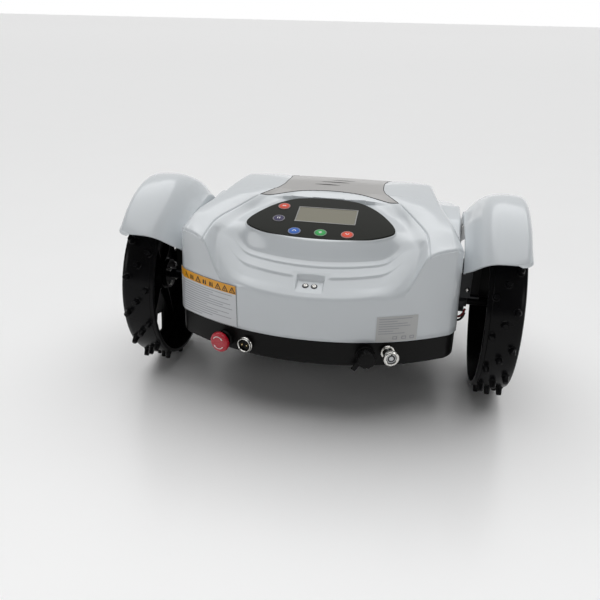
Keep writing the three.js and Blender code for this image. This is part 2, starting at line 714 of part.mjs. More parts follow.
function chassisPan() {
  const step = SKIRT_Z - 2 * GAP;
  const wall = outline(PAN_INSET, PAN_NOSE_SET_BACK);
  const rim = outline(PAN_RIM_INSET, PAN_NOSE_SET_BACK + PAN_RIM_INSET - PAN_INSET);
  const inside = outline(PAN_INSET + PAN_T, PAN_NOSE_SET_BACK + PAN_T);
  const rimInside = outline(PAN_RIM_INSET + PAN_T, PAN_NOSE_SET_BACK + PAN_RIM_INSET + PAN_T);
  let pan = solid(prism(wall, PAN_Z, step))
    .add(solid(prism(rim, PAN_Z + 1, PAN_TOP)))
    .subtract(solid(prism(inside, PAN_Z + PAN_T, step - PAN_T)))
    .subtract(solid(prism(rimInside, PAN_Z + PAN_T, PAN_TOP + 9)));
  for (const [x, y] of stemPlaces()) {
    pan = pan.add(solid(bar("z", 13, PAN_Z - 10, PAN_Z + 22, [x, y, 0], 20)));
  }
  for (const [x, y] of GUIDES) {
    pan = pan.add(solid(bar("z", 5, PAN_Z + 1, PAN_Z + 58, [x, y, 0], 10)));
  }
  for (const [x, y] of stemPlaces()) {
    pan = pan.subtract(solid(bar("z", 6.2, PAN_Z - 20, PAN_Z + 17, [x, y, 0], 16)));
  }
  pan = pan.subtract(solid(bar("z", 31, PAN_Z - 5, PAN_Z + 9, [0, BLADE_Y, 0], 32)));
  pan = pan.subtract(
    solid(box([HATCH.low[0] + 8, HATCH.low[1] + 8, 70], [HATCH.high[0] - 8, HATCH.high[1] - 8, 89])),
  );
  for (const { x, z, hole } of Object.values(FITTINGS)) {
    const cutter = bar("y", hole + 0.4, -12, 12, [0, 0, 0], 24).applyMatrix4(fittingMatrix(x, z));
    pan = pan.subtract(solid(cutter));
  }
  for (const x of BUMPER_PEGS) {
    pan = pan.subtract(solid(bar("y", 4.4, 370, 420, [x, 0, BUMPER_PEG_Z], 12)));
  }
  for (const side of [-1, 1]) {
    const near = side * 155;
    const far = side * 180;
    const notch = box([Math.min(near, far), -40, PAN_Z + 8], [Math.max(near, far), 36, 140]);
    pan = pan.subtract(solid(notch));
  }
  return pan;
}

function batteryHatch() {
  const low = HATCH.low;
  const high = HATCH.high;
  const plate = box([low[0], low[1], PAN_Z - 3.5], [high[0], high[1], PAN_Z - GAP]);
  const plug = box([low[0] + 9, low[1] + 9, PAN_Z - 1], [high[0] - 9, high[1] - 9, PAN_Z + 2.6]);
  return solid(plate).add(solid(plug));
}

function batteryPack() {
  const body = box([-78, -104, 90], [78, -16, 142]);
  const plug = box([-20, -16.5, 104], [20, -8, 122]);
  return solid(body).add(solid(plug));
}

function mainBoard() {
  const board = box([-70, -106, 150], [70, -14, 151.6]);
  const lumps = [
    box([-60, -96, 151], [-30, -60, 166]),
    box([-20, -92, 151], [20, -66, 157]),
    box([34, -98, 151], [62, -40, 163]),
    box([-58, -44, 151], [-10, -22, 160]),
  ];
  return union([board, ...lumps].map(solid));
}

// ---------------------------------------------------------------- drive units
function gearMotor(side) {
  const can = bar("x", 16, 96, 184, [0, 0, AXLE_Z], 24);
  const boss = bar("x", 9, 183, 187.5, [0, 0, AXLE_Z], 20);
  const back = bar("x", 6, 91, 97, [0, 0, AXLE_Z], 16);
  return sided(side, union([can, boss, back].map(solid)));
}

function sided(side, shape) {
  return side > 0 ? shape : shape.mirror([1, 0, 0]);
}

function motorBracket(side) {
  const shelf = box([150, -34, 136.6], [199.5, 30, 139]);
  const plate = box([173.5, -34, 138.5], [188, -31, 188]);
  const foot = box([150, -34, 92], [153, 30, 137]);
  const hole = bar("x", 16.4, 140, 160, [0, 0, AXLE_Z], 24);
  return sided(side, union([shelf, plate, foot].map(solid)).subtract(solid(hole)));
}

function speedSensor(side) {
  const housing = box([188.6, -30, 139.3], [198.6, 22, 184]);
  const lug = box([180, -22, 139.3], [189, 14, 160]);
  return sided(side, solid(housing).add(solid(lug)));
}

// Two insulated leads from the motor's end to their plug inside the body.
function motorLeads(side) {
  const leads = [0, 1].map((k) => {
    const path = new THREE.CatmullRomCurve3([
      new THREE.Vector3(156, -21, 112 - 5 * k),
      new THREE.Vector3(168, -23.5, 107 - 5 * k),
      new THREE.Vector3(178, -24, 104 - 5 * k),
      new THREE.Vector3(184, -21, 108 - 5 * k),
      new THREE.Vector3(185.6, -17.6 - 1.5 * k, 115 - 5 * k),
    ]);
    const ring = new THREE.Shape().absarc(0, 0, 1.5, 0, 2 * Math.PI, false);
    return new THREE.ExtrudeGeometry(ring, {
      steps: 6, extrudePath: path, curveSegments: 3, bevelEnabled: false,
    });
  });
  const plug = box([154.5, -24, 103.5], [160, -18, 115]);
  return sided(side, union([plug, ...leads].map(solid)));
}

// ---------------------------------------------------------------- rear fittings
// Turned about the fitting's own axis, [radius, distance out of the wall].
function outward(points, sides) {
  return turned(points, sides).rotateX(Math.PI / 2);
}

function stopCollar() {
  return outward([[6.6, -14], [7.4, -14], [7.4, 1.2], [10.8, 1.2], [10.8, 2.4], [9.8, 3.6], [6.6, 3.6]], 18);
}

const STOP_TRAVEL = 3.5;
function stopStem() {
  return bar("y", 6.3, -8.3, 12, [0, 0, 0], 20);
}

function stopHead() {
  const foot = 3.6 + GAP + STOP_TRAVEL + 1;
  return outward([[0, 8.6], [6.5, 8.6], [6.5, foot], [11.8, foot], [12.6, foot + 1.6],
    [12.6, foot + 4.6], [11.4, foot + 6.4], [0, foot + 6.8]], 18);
}

function chargeSocket() {
  const shell = outward([[0, -17], [7.4, -17], [7.4, 1.2], [9.6, 1.2], [9.6, 6.6],
    [6.6, 6.6], [6.6, -6], [0, -6]], 20);
  return solid(shell);
}

// The insulating base at the bottom of the socket, with its two contact pins.
function chargeSocketInsert() {
  const base = bar("y", 6.2, 3.6, 5.6, [0, 0, 0], 20);
  const pins = [-3.6, 3.6].map((x) => bar("y", 1.1, -3.4, 4, [x, 0, 0], 10));
  return union([base, ...pins].map(solid));
}

function lockBody() {
  return outward([[5.9, -16], [6.9, -16], [6.9, 1.2], [7.8, 1.2], [7.8, 14], [9.2, 16.5], [9.2, 20],
    [5.9, 20.6]], 18);
}

function lockCore() {
  const core = solid(outward([[0, -13], [5.6, -13], [5.6, 19.4], [4.4, 19.4], [4.4, 14], [2.7, 14],
    [2.7, 19.4], [0, 19.4]], 14));
  const key = box([-0.9, -21.2, 4.6], [0.9, -17, 6.2]);
  return core.subtract(solid(key));
}

function serviceSocket() {
  return outward([[5.4, -14], [7.8, -14], [7.8, 1.2], [11.2, 1.2], [11.2, 3], [9.6, 4.2],
    [5.4, 4.2]], 18);
}

const CAP_FOOT = 4.2 + GAP;
function capStrap() {
  const ring = outward([[9.2, CAP_FOOT + 0.1], [11.2, CAP_FOOT + 0.1], [11.2, CAP_FOOT + 1.9],
    [9.2, CAP_FOOT + 1.9]], 16);
  const tail = box([-3, -CAP_FOOT - 1.7, -23], [3, -CAP_FOOT - 0.3, -10.8]);
  tail.rotateY(radians(38));
  return solid(ring).add(solid(tail));
}

function serviceCap() {
  const cap = solid(outward([[0, -6], [5.1, -6], [5.1, CAP_FOOT], [8.9, CAP_FOOT], [8.9, CAP_FOOT + 2.3],
    [10.4, CAP_FOOT + 2.3], [10.4, CAP_FOOT + 13], [9.2, CAP_FOOT + 14.4], [0, CAP_FOOT + 14.4]], 16));
  const flutes = [];
  for (let i = 0; i < 8; i += 1) {
    const turn = (i * 2 * Math.PI) / 8;
    const place = [10.9 * Math.cos(turn), 0, 10.9 * Math.sin(turn)];
    flutes.push(solid(bar("y", 1.2, -CAP_FOOT - 16, -CAP_FOOT - 4.4, place, 4)));
  }
  return cap.subtract(union(flutes));
}

// ---------------------------------------------------------------- casters
function casterFork() {
  const { trail, w, r } = CASTER;
  const crown = PAN_Z - 10 - 1.2;
  const stem = bar("z", 6, crown - 2, PAN_Z + 15, [0, 0, 0], 16);
  const collar = bar("z", 11, crown - 8, crown, [0, 0, 0], 20);
  const half = w / 2 + 1.6;
  const top = box([-half - 3, -trail - 9, crown - 9], [half + 3, 9, crown - 4]);
  const legs = [-1, 1].map((side) => {
    const x = side * (half + 1.5);
    return box([x - 1.5, -trail - 9, r - 7], [x + 1.5, -trail + 9, crown - 5]);
  });
  const hole = bar("x", 3.3, -30, 30, [0, -trail, r], 14);
  return union([stem, collar, top, ...legs].map(solid)).subtract(solid(hole));
}

function casterWheel() {
  const { trail, w, r } = CASTER;
  const half = w / 2;
  return turned([[3.4, -half], [r - 3, -half], [r, -half + 4], [r, half - 4],
    [r - 3, half], [3.4, half]], 24, "x").translate(0, -trail, r);
}

function casterAxle() {
  const { trail, w, r } = CASTER;
  const half = w / 2 + 4.6;
  const pin = bar("x", 3, -half - 0.4, half + 0.4, [0, -trail, r], 14);
  const ends = [-1, 1].map((side) => {
    const near = side * (half + GAP);
    const far = side * (half + 2.8);
    return bar("x", 5, Math.min(near, far), Math.max(near, far), [0, -trail, r], 12);
  });
  return union([pin, ...ends].map(solid));
}

// ---------------------------------------------------------------- cutting unit
const BLADES = 3;
const PIVOT_R = 98;
const BLADE_T = 1.2;

function bladeGuard() {
  const top = PAN_Z - GAP;
  return turned([[GUARD_R, 28], [GUARD_R + 3, 28], [GUARD_R + 3.5, top - 2.5], [GUARD_R + 7, top - 2.5],
    [GUARD_R + 7, top], [GUARD_R, top]], 32)
    .translate(0, BLADE_Y, 0);
}

function bladeMotor() {
  const can = bar("z", 28, 62, 134, [0, BLADE_Y, 0], 20);
  const shaft = bar("z", 5, DISC_Z + 10 + GAP, 63, [0, BLADE_Y, 0], 14);
  return solid(can).add(solid(shaft));
}

function heightCarriage() {
  const plate = bar("z", 60, 96, 100, [0, BLADE_Y, 0], 24);
  const sleeve = bar("z", 33, 98, 116, [0, BLADE_Y, 0], 20);
  const bore = bar("z", 28.6, 80, 140, [0, BLADE_Y, 0], 20);
  let body = solid(plate).add(solid(sleeve)).subtract(solid(bore));
  for (const [x, y] of GUIDES) body = body.subtract(solid(bar("z", 5.6, 80, 140, [x, y, 0], 10)));
  return body;
}

function bladeDisc() {
  const disc = turned([[0, DISC_Z], [70, DISC_Z + 1.5], [110, DISC_Z], [110, DISC_Z + 2.5],
    [72, DISC_Z + 4.5], [24, DISC_Z + 4], [14, DISC_Z + 10], [0, DISC_Z + 10]], 28);
  let body = solid(disc);
  for (let i = 0; i < BLADES; i += 1) {
    const turn = (i * 2 * Math.PI) / BLADES;
    const place = [PIVOT_R * Math.cos(turn), PIVOT_R * Math.sin(turn), 0];
    body = body.subtract(solid(bar("z", 2.6, 30, 60, place, 10)));
  }
  return body.translate([0, BLADE_Y, 0]);
}

// A blade points straight out from its pivot at the disc's edge.
function blade() {
  const outlinePoints = [[-7, -7], [40, -8], [44, -5], [44, 5], [40, 8], [-7, 7], [-9, 0]];
  const body = solid(prism(outlinePoints, 0, BLADE_T));
  return body.subtract(solid(bar("z", 2.6, -5, 5, [0, 0, 0], 10)));
}

// The shouldered screw that a blade swings on, with its nut above the disc.
function bladeScrew() {
  const top = DISC_Z + 2.5;
  const shank = bar("z", 2.2, DISC_Z - 2.5, top + 2.5, [0, 0, 0], 10);
  const head = bar("z", 4.2, DISC_Z - 4.4, DISC_Z - 2 - GAP, [0, 0, 0], 10);
  const nut = bar("z", 4, top + 1.2, top + 3.6, [0, 0, 0], 6);
  return union([shank, head, nut].map(solid));
}

// ---------------------------------------------------------------- front
const BUMPER_PEGS = [-60, 60];
const BUMPER_PEG_Z = 100;

function frontBumper() {
  const outerR = NOSE_R + 9;
  const ring = (r) => {
    const points = [];
    for (let i = 0; i <= 14; i += 1) {
      const turn = radians(mix(-37, 37, i / 14));
      points.push([r * Math.sin(turn), NOSE_Y - NOSE_R + r * Math.cos(turn)]);
    }
    return points;
  };
  const band = prism([...ring(outerR), ...ring(outerR - 8).reverse()], 88, 112);
  const pegs = BUMPER_PEGS.map((x) => bar("y", 4, 386, noseY(x) + 4, [x, 0, BUMPER_PEG_Z], 10));
  return union([band, ...pegs].map(solid));
}

// A plate that meets the charging station's spring contact.
function chargingContact(side) {
  const near = 25;
  const far = 55;
  const face = NOSE_Y + 1.2;
  const back = [far, (near + far) / 2, near].map((x) => [x, noseY(x) + 2 * GAP]);
  const outlinePoints = [[near, face], ...back.reverse(), [far, face]].map(([x, y]) => [side * x, y]);
  return prism(side > 0 ? outlinePoints : outlinePoints.reverse(), 122, 134);
}

// ---------------------------------------------------------------- materials and assembly
const mats = {
  white: material(0xe6eaee, 0.22),
  cover: material(0xdfe4e8, 0.24),
  panel: material(0x34362f, 0.35),
  insert: material(0x8f8b83, 0.35, 0.2),
  lcd: material(0x96917d, 0.15),
  board: material(0x1f5a34, 0.6),
  pan: material(0x1d1e1f, 0.5),
  black: material(0x141414, 0.4),
  tyre: material(0x17181a, 0.45),
  steel: material(0x9a9da1, 0.35, 0.9),
  bright: material(0xc4c7ca, 0.2, 1),
  grey: material(0x4b4e50, 0.5, 0.4),
  red: material(0xbe1428, 0.3),
  orange: material(0xd9a12c, 0.5),
  label: material(0xc9cccd, 0.5),
  brass: material(0xb79a5a, 0.3, 0.9),
};

const mower = new THREE.Group();
mower.position.y = AXLE_Y;

mower.add(
  part("chassis_pan", chassisPan(), mats.pan),
  part("top_cover", topCover(), mats.white),
  part("left_wheel_cover", wheelCover(-1), mats.cover),
  part("right_wheel_cover", wheelCover(1), mats.cover),
  part("hood_insert", hoodInsert(), mats.insert),
  part("rain_sensor", rainSensor(), mats.bright),
  part("warning_sticker", skirtLabel(-1, 84, 162, 117, 170), mats.orange),
  part("rating_label", skirtLabel(1, 79, 126, 118, 151), mats.label),
  part("battery_hatch", batteryHatch(), mats.pan),
  part("battery_pack", batteryPack(), mats.grey),
  part("main_board", mainBoard(), mats.board),
  part("blade_guard", bladeGuard(), mats.black),
  part("blade_motor", bladeMotor(), mats.steel),
  part("height_carriage", heightCarriage(), mats.grey),
  part("blade_disc", bladeDisc(), mats.black),
  part("front_bumper", frontBumper(), mats.black),
);

const panel = panelGroup();
panel.add(
  part("control_panel", controlPanel(), mats.panel),
  part("lcd_screen", lcdScreen(), mats.lcd),
  part("display_board", displayBoard(), mats.board),
);
const buttonColours = [0xc8402c, 0x3c3466, 0x2c62b0, 0x2f9a48, 0xc8402c];
Object.entries(BUTTONS).forEach(([name, place], i) => {
  const piece = part(name, button(), material(buttonColours[i], 0.4));
  piece.position.set(...onPanel(place), 0);
  panel.add(piece);
});
mower.add(panel);

for (const [side, prefix] of [[-1, "left_"], [1, "right_"]]) {
  mower.add(
    wheelGroup(side, prefix, mats),
    part(prefix + "gear_motor", gearMotor(side), mats.steel),
    part(prefix + "motor_bracket", motorBracket(side), mats.grey),
    part(prefix + "speed_sensor", speedSensor(side), mats.black),
    part(prefix + "motor_leads", motorLeads(side), mats.red),
    part(prefix + "charging_contact", chargingContact(side), mats.bright),
  );
  const caster = new THREE.Group();
  caster.position.set(side * CASTER.x, CASTER.y, 0);
  caster.add(
    part(prefix + "caster_fork", casterFork(), mats.black),
    part(prefix + "caster_wheel", casterWheel(), mats.tyre),
    part(prefix + "caster_axle", casterAxle(), mats.steel),
  );
  mower.add(caster);
}

for (let i = 0; i < BLADES; i += 1) {
  const turn = (i * 2 * Math.PI) / BLADES;
  const piece = part("blade_" + (i + 1), blade(), mats.bright);
  piece.position.set(PIVOT_R * Math.cos(turn), BLADE_Y + PIVOT_R * Math.sin(turn), DISC_Z - GAP - BLADE_T);
  piece.rotation.z = turn;
  const screw = part("blade_screw_" + (i + 1), bladeScrew(), mats.bright);
  screw.position.set(PIVOT_R * Math.cos(turn), BLADE_Y + PIVOT_R * Math.sin(turn), 0);
  mower.add(piece, screw);
}

const rear = {
  stop: [["estop_collar", stopCollar(), mats.black], ["estop_stem", stopStem(), mats.black],
    ["estop_head", stopHead(), mats.red]],
  socket: [["charge_socket", chargeSocket(), mats.bright], ["charge_socket_insert", chargeSocketInsert(), mats.black]],
  lock: [["lock_body", lockBody(), mats.bright], ["lock_core", lockCore(), mats.steel]],
  service: [["service_socket", serviceSocket(), mats.black], ["cap_strap", capStrap(), mats.black],
    ["service_cap", serviceCap(), mats.black]],
};
for (const [key, pieces] of Object.entries(rear)) {
  const group = fitting(key);
  for (const [name, shape, mat] of pieces) group.add(part(name, shape, mat));
  mower.add(group);
}

const group = new THREE.Group();
group.name = "robotic_lawn_mower";
group.add(mower);

export default group;
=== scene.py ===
# The robotic lawn mower's looks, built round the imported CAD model.
# Lengths in this script are millimetres from the point on the ground under the drive axle;
# place() turns them into the frame's metres.
import math

import bmesh
import bpy
import numpy as np
from mathutils import Matrix, Vector


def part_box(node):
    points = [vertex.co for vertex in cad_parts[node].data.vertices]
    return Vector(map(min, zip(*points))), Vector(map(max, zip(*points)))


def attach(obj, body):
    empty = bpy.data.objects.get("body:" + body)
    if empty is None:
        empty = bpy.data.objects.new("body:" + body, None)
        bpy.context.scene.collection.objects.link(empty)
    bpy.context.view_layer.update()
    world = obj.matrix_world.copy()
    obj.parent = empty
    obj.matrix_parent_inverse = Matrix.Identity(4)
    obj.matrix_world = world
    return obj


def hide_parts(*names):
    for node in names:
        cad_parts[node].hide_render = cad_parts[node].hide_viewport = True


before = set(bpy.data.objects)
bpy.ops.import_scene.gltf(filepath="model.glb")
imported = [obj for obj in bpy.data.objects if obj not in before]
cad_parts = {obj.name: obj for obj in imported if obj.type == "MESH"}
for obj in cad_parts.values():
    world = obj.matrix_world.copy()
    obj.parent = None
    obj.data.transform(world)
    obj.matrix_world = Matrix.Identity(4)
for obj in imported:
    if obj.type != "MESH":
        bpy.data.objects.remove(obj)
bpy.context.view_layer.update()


MM = 0.001
wheel_low, wheel_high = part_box("left_wheel")
AXLE_Y = (wheel_low[1] + wheel_high[1]) / 2 / MM
AXLE_Z = 120.0

# ------------------------------------------------------------------ driving dimensions
REAR_R = 256.3
REAR_MID_Y = 98.2
BASE_R = 290.0
BASE_MID_Y = 139.8
SIDE_X = 172.5
SIDE_END_Y = 110.0
NOSE_R = 200.0
NOSE_Y = 420.0
NOSE_CORNER_X = 130.0
REAR_CORNER_R = 9.0
NOSE_CORNER_R = 26.0
SKIRT_Z = 115.0
DRAFT = 4.5
SIDE_DRAFT = 1.5
PANEL_TILT = math.radians(13.6)
PANEL_Y = -45.0
PANEL_Z = 233.4
LCD_X, LCD_W, LCD_H = 4.6, 73.9, 36.1
BUTTON_R = 8.0
PAN_INSET = 1.5
FITTING_R = BASE_R - PAN_INSET
PAN_Z = 83.0
PAN_NOSE_SET_BACK = 20.0
TREAD_R = 110.0
STUD_TIP_R = 120.0
STUDS = 45
WHEEL_IN, WHEEL_OUT, WEB_X = 202.0, 245.0, 238.0
RAIN_X, RAIN_HALF, RAIN_Y = 1.0, 15.5, -137.5
RECESS_FRONT_Y, RECESS_BACK_Y, RECESS_LOW_Z, RECESS_HIGH_Z = -149, -131, 172.6, 180.0
INSERT_END = 338.0
INSERT_START, INSERT_START_BOW, INSERT_END_BOW, INSERT_GAP = 21, 23, 26, 1
RIM_R = 2.6
WALL = 2.6
WINDOW_IN, WINDOW_OUT, WINDOW_HALF_TURN = 60, 88, 10
PANEL_SIDES = 160
APRON_FOOT_Z, APRON_FOOT_D, APRON_SLOPE = 168.5, 5, 0.9375


# ------------------------------------------------------------------ materials
def node_of(tree, kind, **inputs):
    node = tree.nodes.new(kind)
    for name, value in inputs.items():
        node.inputs[name.replace("_", " ")].default_value = value
    return node


def finish_of(name, colour, rough, metal=0.0, speckle=0.03, grain=900.0, bump=0.04, blotch=6.0,
              coat=0.0, rough_spread=0.08, brushed=False, colour_2=None, ior=1.5):
    """A moulded, painted or machined finish: slow colour drift, fine grain, and matching bump."""
    mat = bpy.data.materials.new(name)
    mat.use_nodes = True
    tree = mat.node_tree
    shader = tree.nodes["Principled BSDF"]
    shader.inputs["Metallic"].default_value = metal
    shader.inputs["IOR"].default_value = ior
    shader.inputs["Coat Weight"].default_value = coat
    shader.inputs["Coat Roughness"].default_value = 0.08
    where = tree.nodes.new("ShaderNodeTexCoord")
    drift = node_of(tree, "ShaderNodeTexNoise", Scale=blotch, Detail=3.0)
    fine = node_of(tree, "ShaderNodeTexNoise", Scale=grain, Detail=2.0)
    spot = where.outputs["Object"]
    if brushed:
        stretch = tree.nodes.new("ShaderNodeMapping")
        stretch.inputs["Scale"].default_value = (1.0, 1.0, 0.04)
        tree.links.new(spot, stretch.inputs["Vector"])
        tree.links.new(stretch.outputs["Vector"], fine.inputs["Vector"])
    else:
        tree.links.new(spot, fine.inputs["Vector"])
    tree.links.new(spot, drift.inputs["Vector"])
    ramp = tree.nodes.new("ShaderNodeValToRGB")
    low = [max(0.0, c * (1 - speckle)) for c in colour]
    high = list(colour_2) if colour_2 else [min(1.0, c * (1 + speckle)) for c in colour]
    ramp.color_ramp.elements[0].color = (*low, 1)
    ramp.color_ramp.elements[1].color = (*high, 1)
    ramp.color_ramp.elements[0].position = 0.35
    ramp.color_ramp.elements[1].position = 0.65
    tree.links.new(drift.outputs["Fac"], ramp.inputs["Fac"])
    tree.links.new(ramp.outputs["Color"], shader.inputs["Base Color"])
    spread = tree.nodes.new("ShaderNodeMapRange")
    spread.inputs["To Min"].default_value = max(0.02, rough - rough_spread / 2)
    spread.inputs["To Max"].default_value = rough + rough_spread / 2
    tree.links.new(fine.outputs["Fac"], spread.inputs["Value"])
    tree.links.new(spread.outputs["Result"], shader.inputs["Roughness"])
    relief = node_of(tree, "ShaderNodeBump", Strength=bump, Distance=0.0004)
    tree.links.new(fine.outputs["Fac"], relief.inputs["Height"])
    tree.links.new(relief.outputs["Normal"], shader.inputs["Normal"])
    return mat


WHITE = finish_of("white_gloss", (0.645, 0.68, 0.705), 0.2, speckle=0.012, grain=260, bump=0.015,
                  blotch=4, coat=0.35, rough_spread=0.05)
CHASSIS = finish_of("black_satin", (0.006, 0.006, 0.006), 0.34, speckle=0.3, grain=1400, bump=0.1,
                    ior=1.22)
TRIM = finish_of("black_trim", (0.005, 0.005, 0.005), 0.34, speckle=0.3, grain=1500, bump=0.08,
                 ior=1.22)
WHEEL = finish_of("wheel_moulding", (0.004, 0.004, 0.0045), 0.24, speckle=0.4, grain=700, bump=0.08,
                  blotch=14, rough_spread=0.12, ior=1.22)
RUBBER = finish_of("caster_rubber", (0.02, 0.02, 0.021), 0.7, speckle=0.25, grain=1800, bump=0.2)
INSERT = finish_of("pearl_grey", (0.41, 0.4, 0.39), 0.34, speckle=0.05, grain=2600, bump=0.08,
                   coat=0.2, blotch=5)
PANEL = finish_of("panel_film", (0.014, 0.015, 0.012), 0.4, speckle=0.08, grain=2200, bump=0.05,
                  ior=1.15)
STEEL = finish_of("machined_steel", (0.52, 0.53, 0.54), 0.3, metal=1.0, speckle=0.06, grain=1800,
                  bump=0.08, brushed=True)
NICKEL = finish_of("nickel", (0.72, 0.71, 0.68), 0.17, metal=1.0, speckle=0.04, grain=900, bump=0.03)
BRASS = finish_of("brass_pins", (0.75, 0.6, 0.33), 0.22, metal=1.0, speckle=0.05)
DARK_STEEL = finish_of("grey_paint", (0.03, 0.032, 0.035), 0.42, metal=0.3, speckle=0.1, grain=1000,
                       bump=0.1)
STOP_RED = finish_of("stop_red", (0.5, 0.004, 0.022), 0.28, speckle=0.06, grain=700, bump=0.03,
                     coat=0.3)
MARK_WHITE = finish_of("white_print", (0.8, 0.8, 0.8), 0.4, speckle=0.02)
# Near-black for painted shade: the shadow line of the insert's seam, the slots' depth, the keyway and the
# gaps round the rain contacts.
PAINTED_SHADE = finish_of("seam_shadow", (0.02, 0.02, 0.02), 0.8, speckle=0.1)
PAPER = finish_of("sticker_white", (0.66, 0.68, 0.7), 0.32, speckle=0.02, grain=1500, bump=0.03)
ORANGE = finish_of("sticker_orange", (0.8, 0.36, 0.015), 0.32, speckle=0.04, grain=1500, bump=0.03)
INK = finish_of("sticker_ink", (0.01, 0.008, 0.006), 0.5, speckle=0.1)
GREY_INK = finish_of("grey_ink", (0.32, 0.33, 0.36), 0.4, speckle=0.08)
RATING = finish_of("rating_film", (0.5, 0.505, 0.5), 0.3, speckle=0.03, grain=1200, bump=0.03)
LCD = finish_of("display_glass", (0.19, 0.18, 0.13), 0.3, speckle=0.03, grain=300, bump=0.0,
                rough_spread=0.03, ior=1.3)
LCD_FRAME = finish_of("display_rim", (0.2, 0.2, 0.19), 0.3, metal=0.6, speckle=0.04)
BOARD = finish_of("circuit_board", (0.02, 0.12, 0.05), 0.45, speckle=0.25, grain=500)
BATTERY = finish_of("battery_wrap", (0.03, 0.06, 0.14), 0.35, speckle=0.1)
RED_LEAD = finish_of("red_insulation", (0.3, 0.01, 0.015), 0.4, speckle=0.1)
BLACK_LEAD = finish_of("black_insulation", (0.015, 0.015, 0.015), 0.4, speckle=0.1)
BUTTON_MATS = {
    "red_upper_button": (0.72, 0.065, 0.025),
    "purple_button": (0.03, 0.02, 0.09),
    "blue_button": (0.015, 0.12, 0.5),
    "green_button": (0.015, 0.36, 0.07),
    "red_lower_button": (0.72, 0.065, 0.025),
}
BUTTONS = {
    "red_upper_button": (-51.6, -29.6),
    "purple_button": (-52.4, -59.0),
    "blue_button": (-28.0, -84.8),
    "green_button": (3.3, -84.7),
    "red_lower_button": (35.2, -84.6),
}


# ------------------------------------------------------------------ mesh helpers
def place(points):
    p = np.asarray(points, float).reshape(-1, 3)
    return (p + np.array([0.0, AXLE_Y, 0.0])) * MM


def piece(name, points, faces, mat, body, replaces=(), smooth=True, angle=35.0, bevel=0.0):
    """A mesh object from points in millimetres, riding on a body."""
    mesh = bpy.data.meshes.new(name)
    mesh.from_pydata([tuple(v) for v in place(points)], [], [tuple(int(i) for i in f) for f in faces])
    mesh.validate()
    fix = bmesh.new()
    fix.from_mesh(mesh)
    bmesh.ops.remove_doubles(fix, verts=fix.verts, dist=1e-6)
    bmesh.ops.recalc_face_normals(fix, faces=fix.faces)
    fix.to_mesh(mesh)
    fix.free()
    obj = bpy.data.objects.new(name, mesh)
    bpy.context.collection.objects.link(obj)
    mesh.materials.append(mat)
    dress(obj, smooth, angle, bevel)
    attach(obj, body)
    if replaces:
        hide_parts(*replaces)
    return obj


def dress(obj, smooth=True, angle=35.0, bevel=0.0):
    """Rounded edges and smooth shading that stops at sharp ones."""
    if bevel:
        mod = obj.modifiers.new("edges", "BEVEL")
        mod.width = bevel * MM
        mod.segments = 2
        mod.limit_method = "ANGLE"
        mod.angle_limit = math.radians(40)
    if smooth:
        for poly in obj.data.polygons:
            poly.use_smooth = True
        fix = bmesh.new()
        fix.from_mesh(obj.data)
        for edge in fix.edges:
            edge.smooth = not (edge.is_manifold and edge.calc_face_angle(0) > math.radians(angle))
        fix.to_mesh(obj.data)
        fix.free()


def grid_faces(rows, columns, closed=False, start=0):
    faces = []
    last = columns if closed else columns - 1
    for i in range(rows - 1):
        for j in range(last):
            a = start + i * columns + j
            b = start + i * columns + (j + 1) % columns
            faces.append((a, b, b + columns, a + columns))
    return faces


def turned(profile, sides=64, axis="z", matrix=None):
    """Points and faces of a body of revolution from [radius, height] points, closed on themselves."""
    points, faces = [], []
    n = len(profile)
    for i in range(sides):
        t = 2 * math.pi * i / sides
        for r, h in profile:
            p = {"z": (r * math.cos(t), r * math.sin(t), h),
                 "x": (h, r * math.cos(t), r * math.sin(t)),
                 "out": (r * math.cos(t), -h, r * math.sin(t))}[axis]
            points.append(p)
    for i in range(sides):
        j = (i + 1) % sides
        for k in range(n):
            m = (k + 1) % n
            faces.append((i * n + k, i * n + m, j * n + m, j * n + k))
    points = np.array(points)
    if matrix is not None:
        points = moved(points, matrix)
    return points, faces


def moved(points, matrix):
    p = np.asarray(points, float).reshape(-1, 3)
    m = np.array(matrix)
    return p @ m[:3, :3].T + m[:3, 3]


def shifted(shape, matrix):
    points, faces = shape
    return moved(points, matrix), faces


def joined(shapes):
    """Several (points, faces) as one."""
    points, faces, start = [], [], 0
    for p, f in shapes:
        p = np.asarray(p, float).reshape(-1, 3)
        points.append(p)
        faces += [tuple(i + start for i in face) for face in f]
        start += len(p)
    return np.vstack(points), faces


def block(low, high):
    x0, y0, z0 = low
    x1, y1, z1 = high
    points = [(x, y, z) for z in (z0, z1) for y in (y0, y1) for x in (x0, x1)]
    faces = [(0, 2, 3, 1), (4, 5, 7, 6), (0, 1, 5, 4), (2, 6, 7, 3), (0, 4, 6, 2), (1, 3, 7, 5)]
    return np.array(points, float), faces


# ------------------------------------------------------------------ the cover's surface
def curve(points):
    """A smooth line through (place, value) points, level where the values turn round."""
    x = np.array([p[0] for p in points], float)
    y = np.array([p[1] for p in points], float)
    steps = np.diff(y) / np.diff(x)
    slopes = np.zeros(len(x))
    for i in range(1, len(x) - 1):
        before, after = steps[i - 1], steps[i]
        slopes[i] = 0 if before * after <= 0 else 2 * before * after / (before + after)
    slopes[0], slopes[-1] = steps[0], steps[-1]

    def value(at):
        at = np.asarray(at, float)
        i = np.clip(np.searchsorted(x, at, side="right") - 1, 0, len(x) - 2)
        h = x[i + 1] - x[i]
        t = np.clip((at - x[i]) / h, 0, 1)
        inside = (y[i] * (1 + 2 * t) * (1 - t) ** 2 + slopes[i] * h * t * (1 - t) ** 2
                  + y[i + 1] * t * t * (3 - 2 * t) + slopes[i + 1] * h * t * t * (t - 1))
        inside = np.where(at < x[0], y[0] + slopes[0] * (at - x[0]), inside)
        return np.where(at > x[-1], y[-1] + slopes[-1] * (at - x[-1]), inside)

    return value


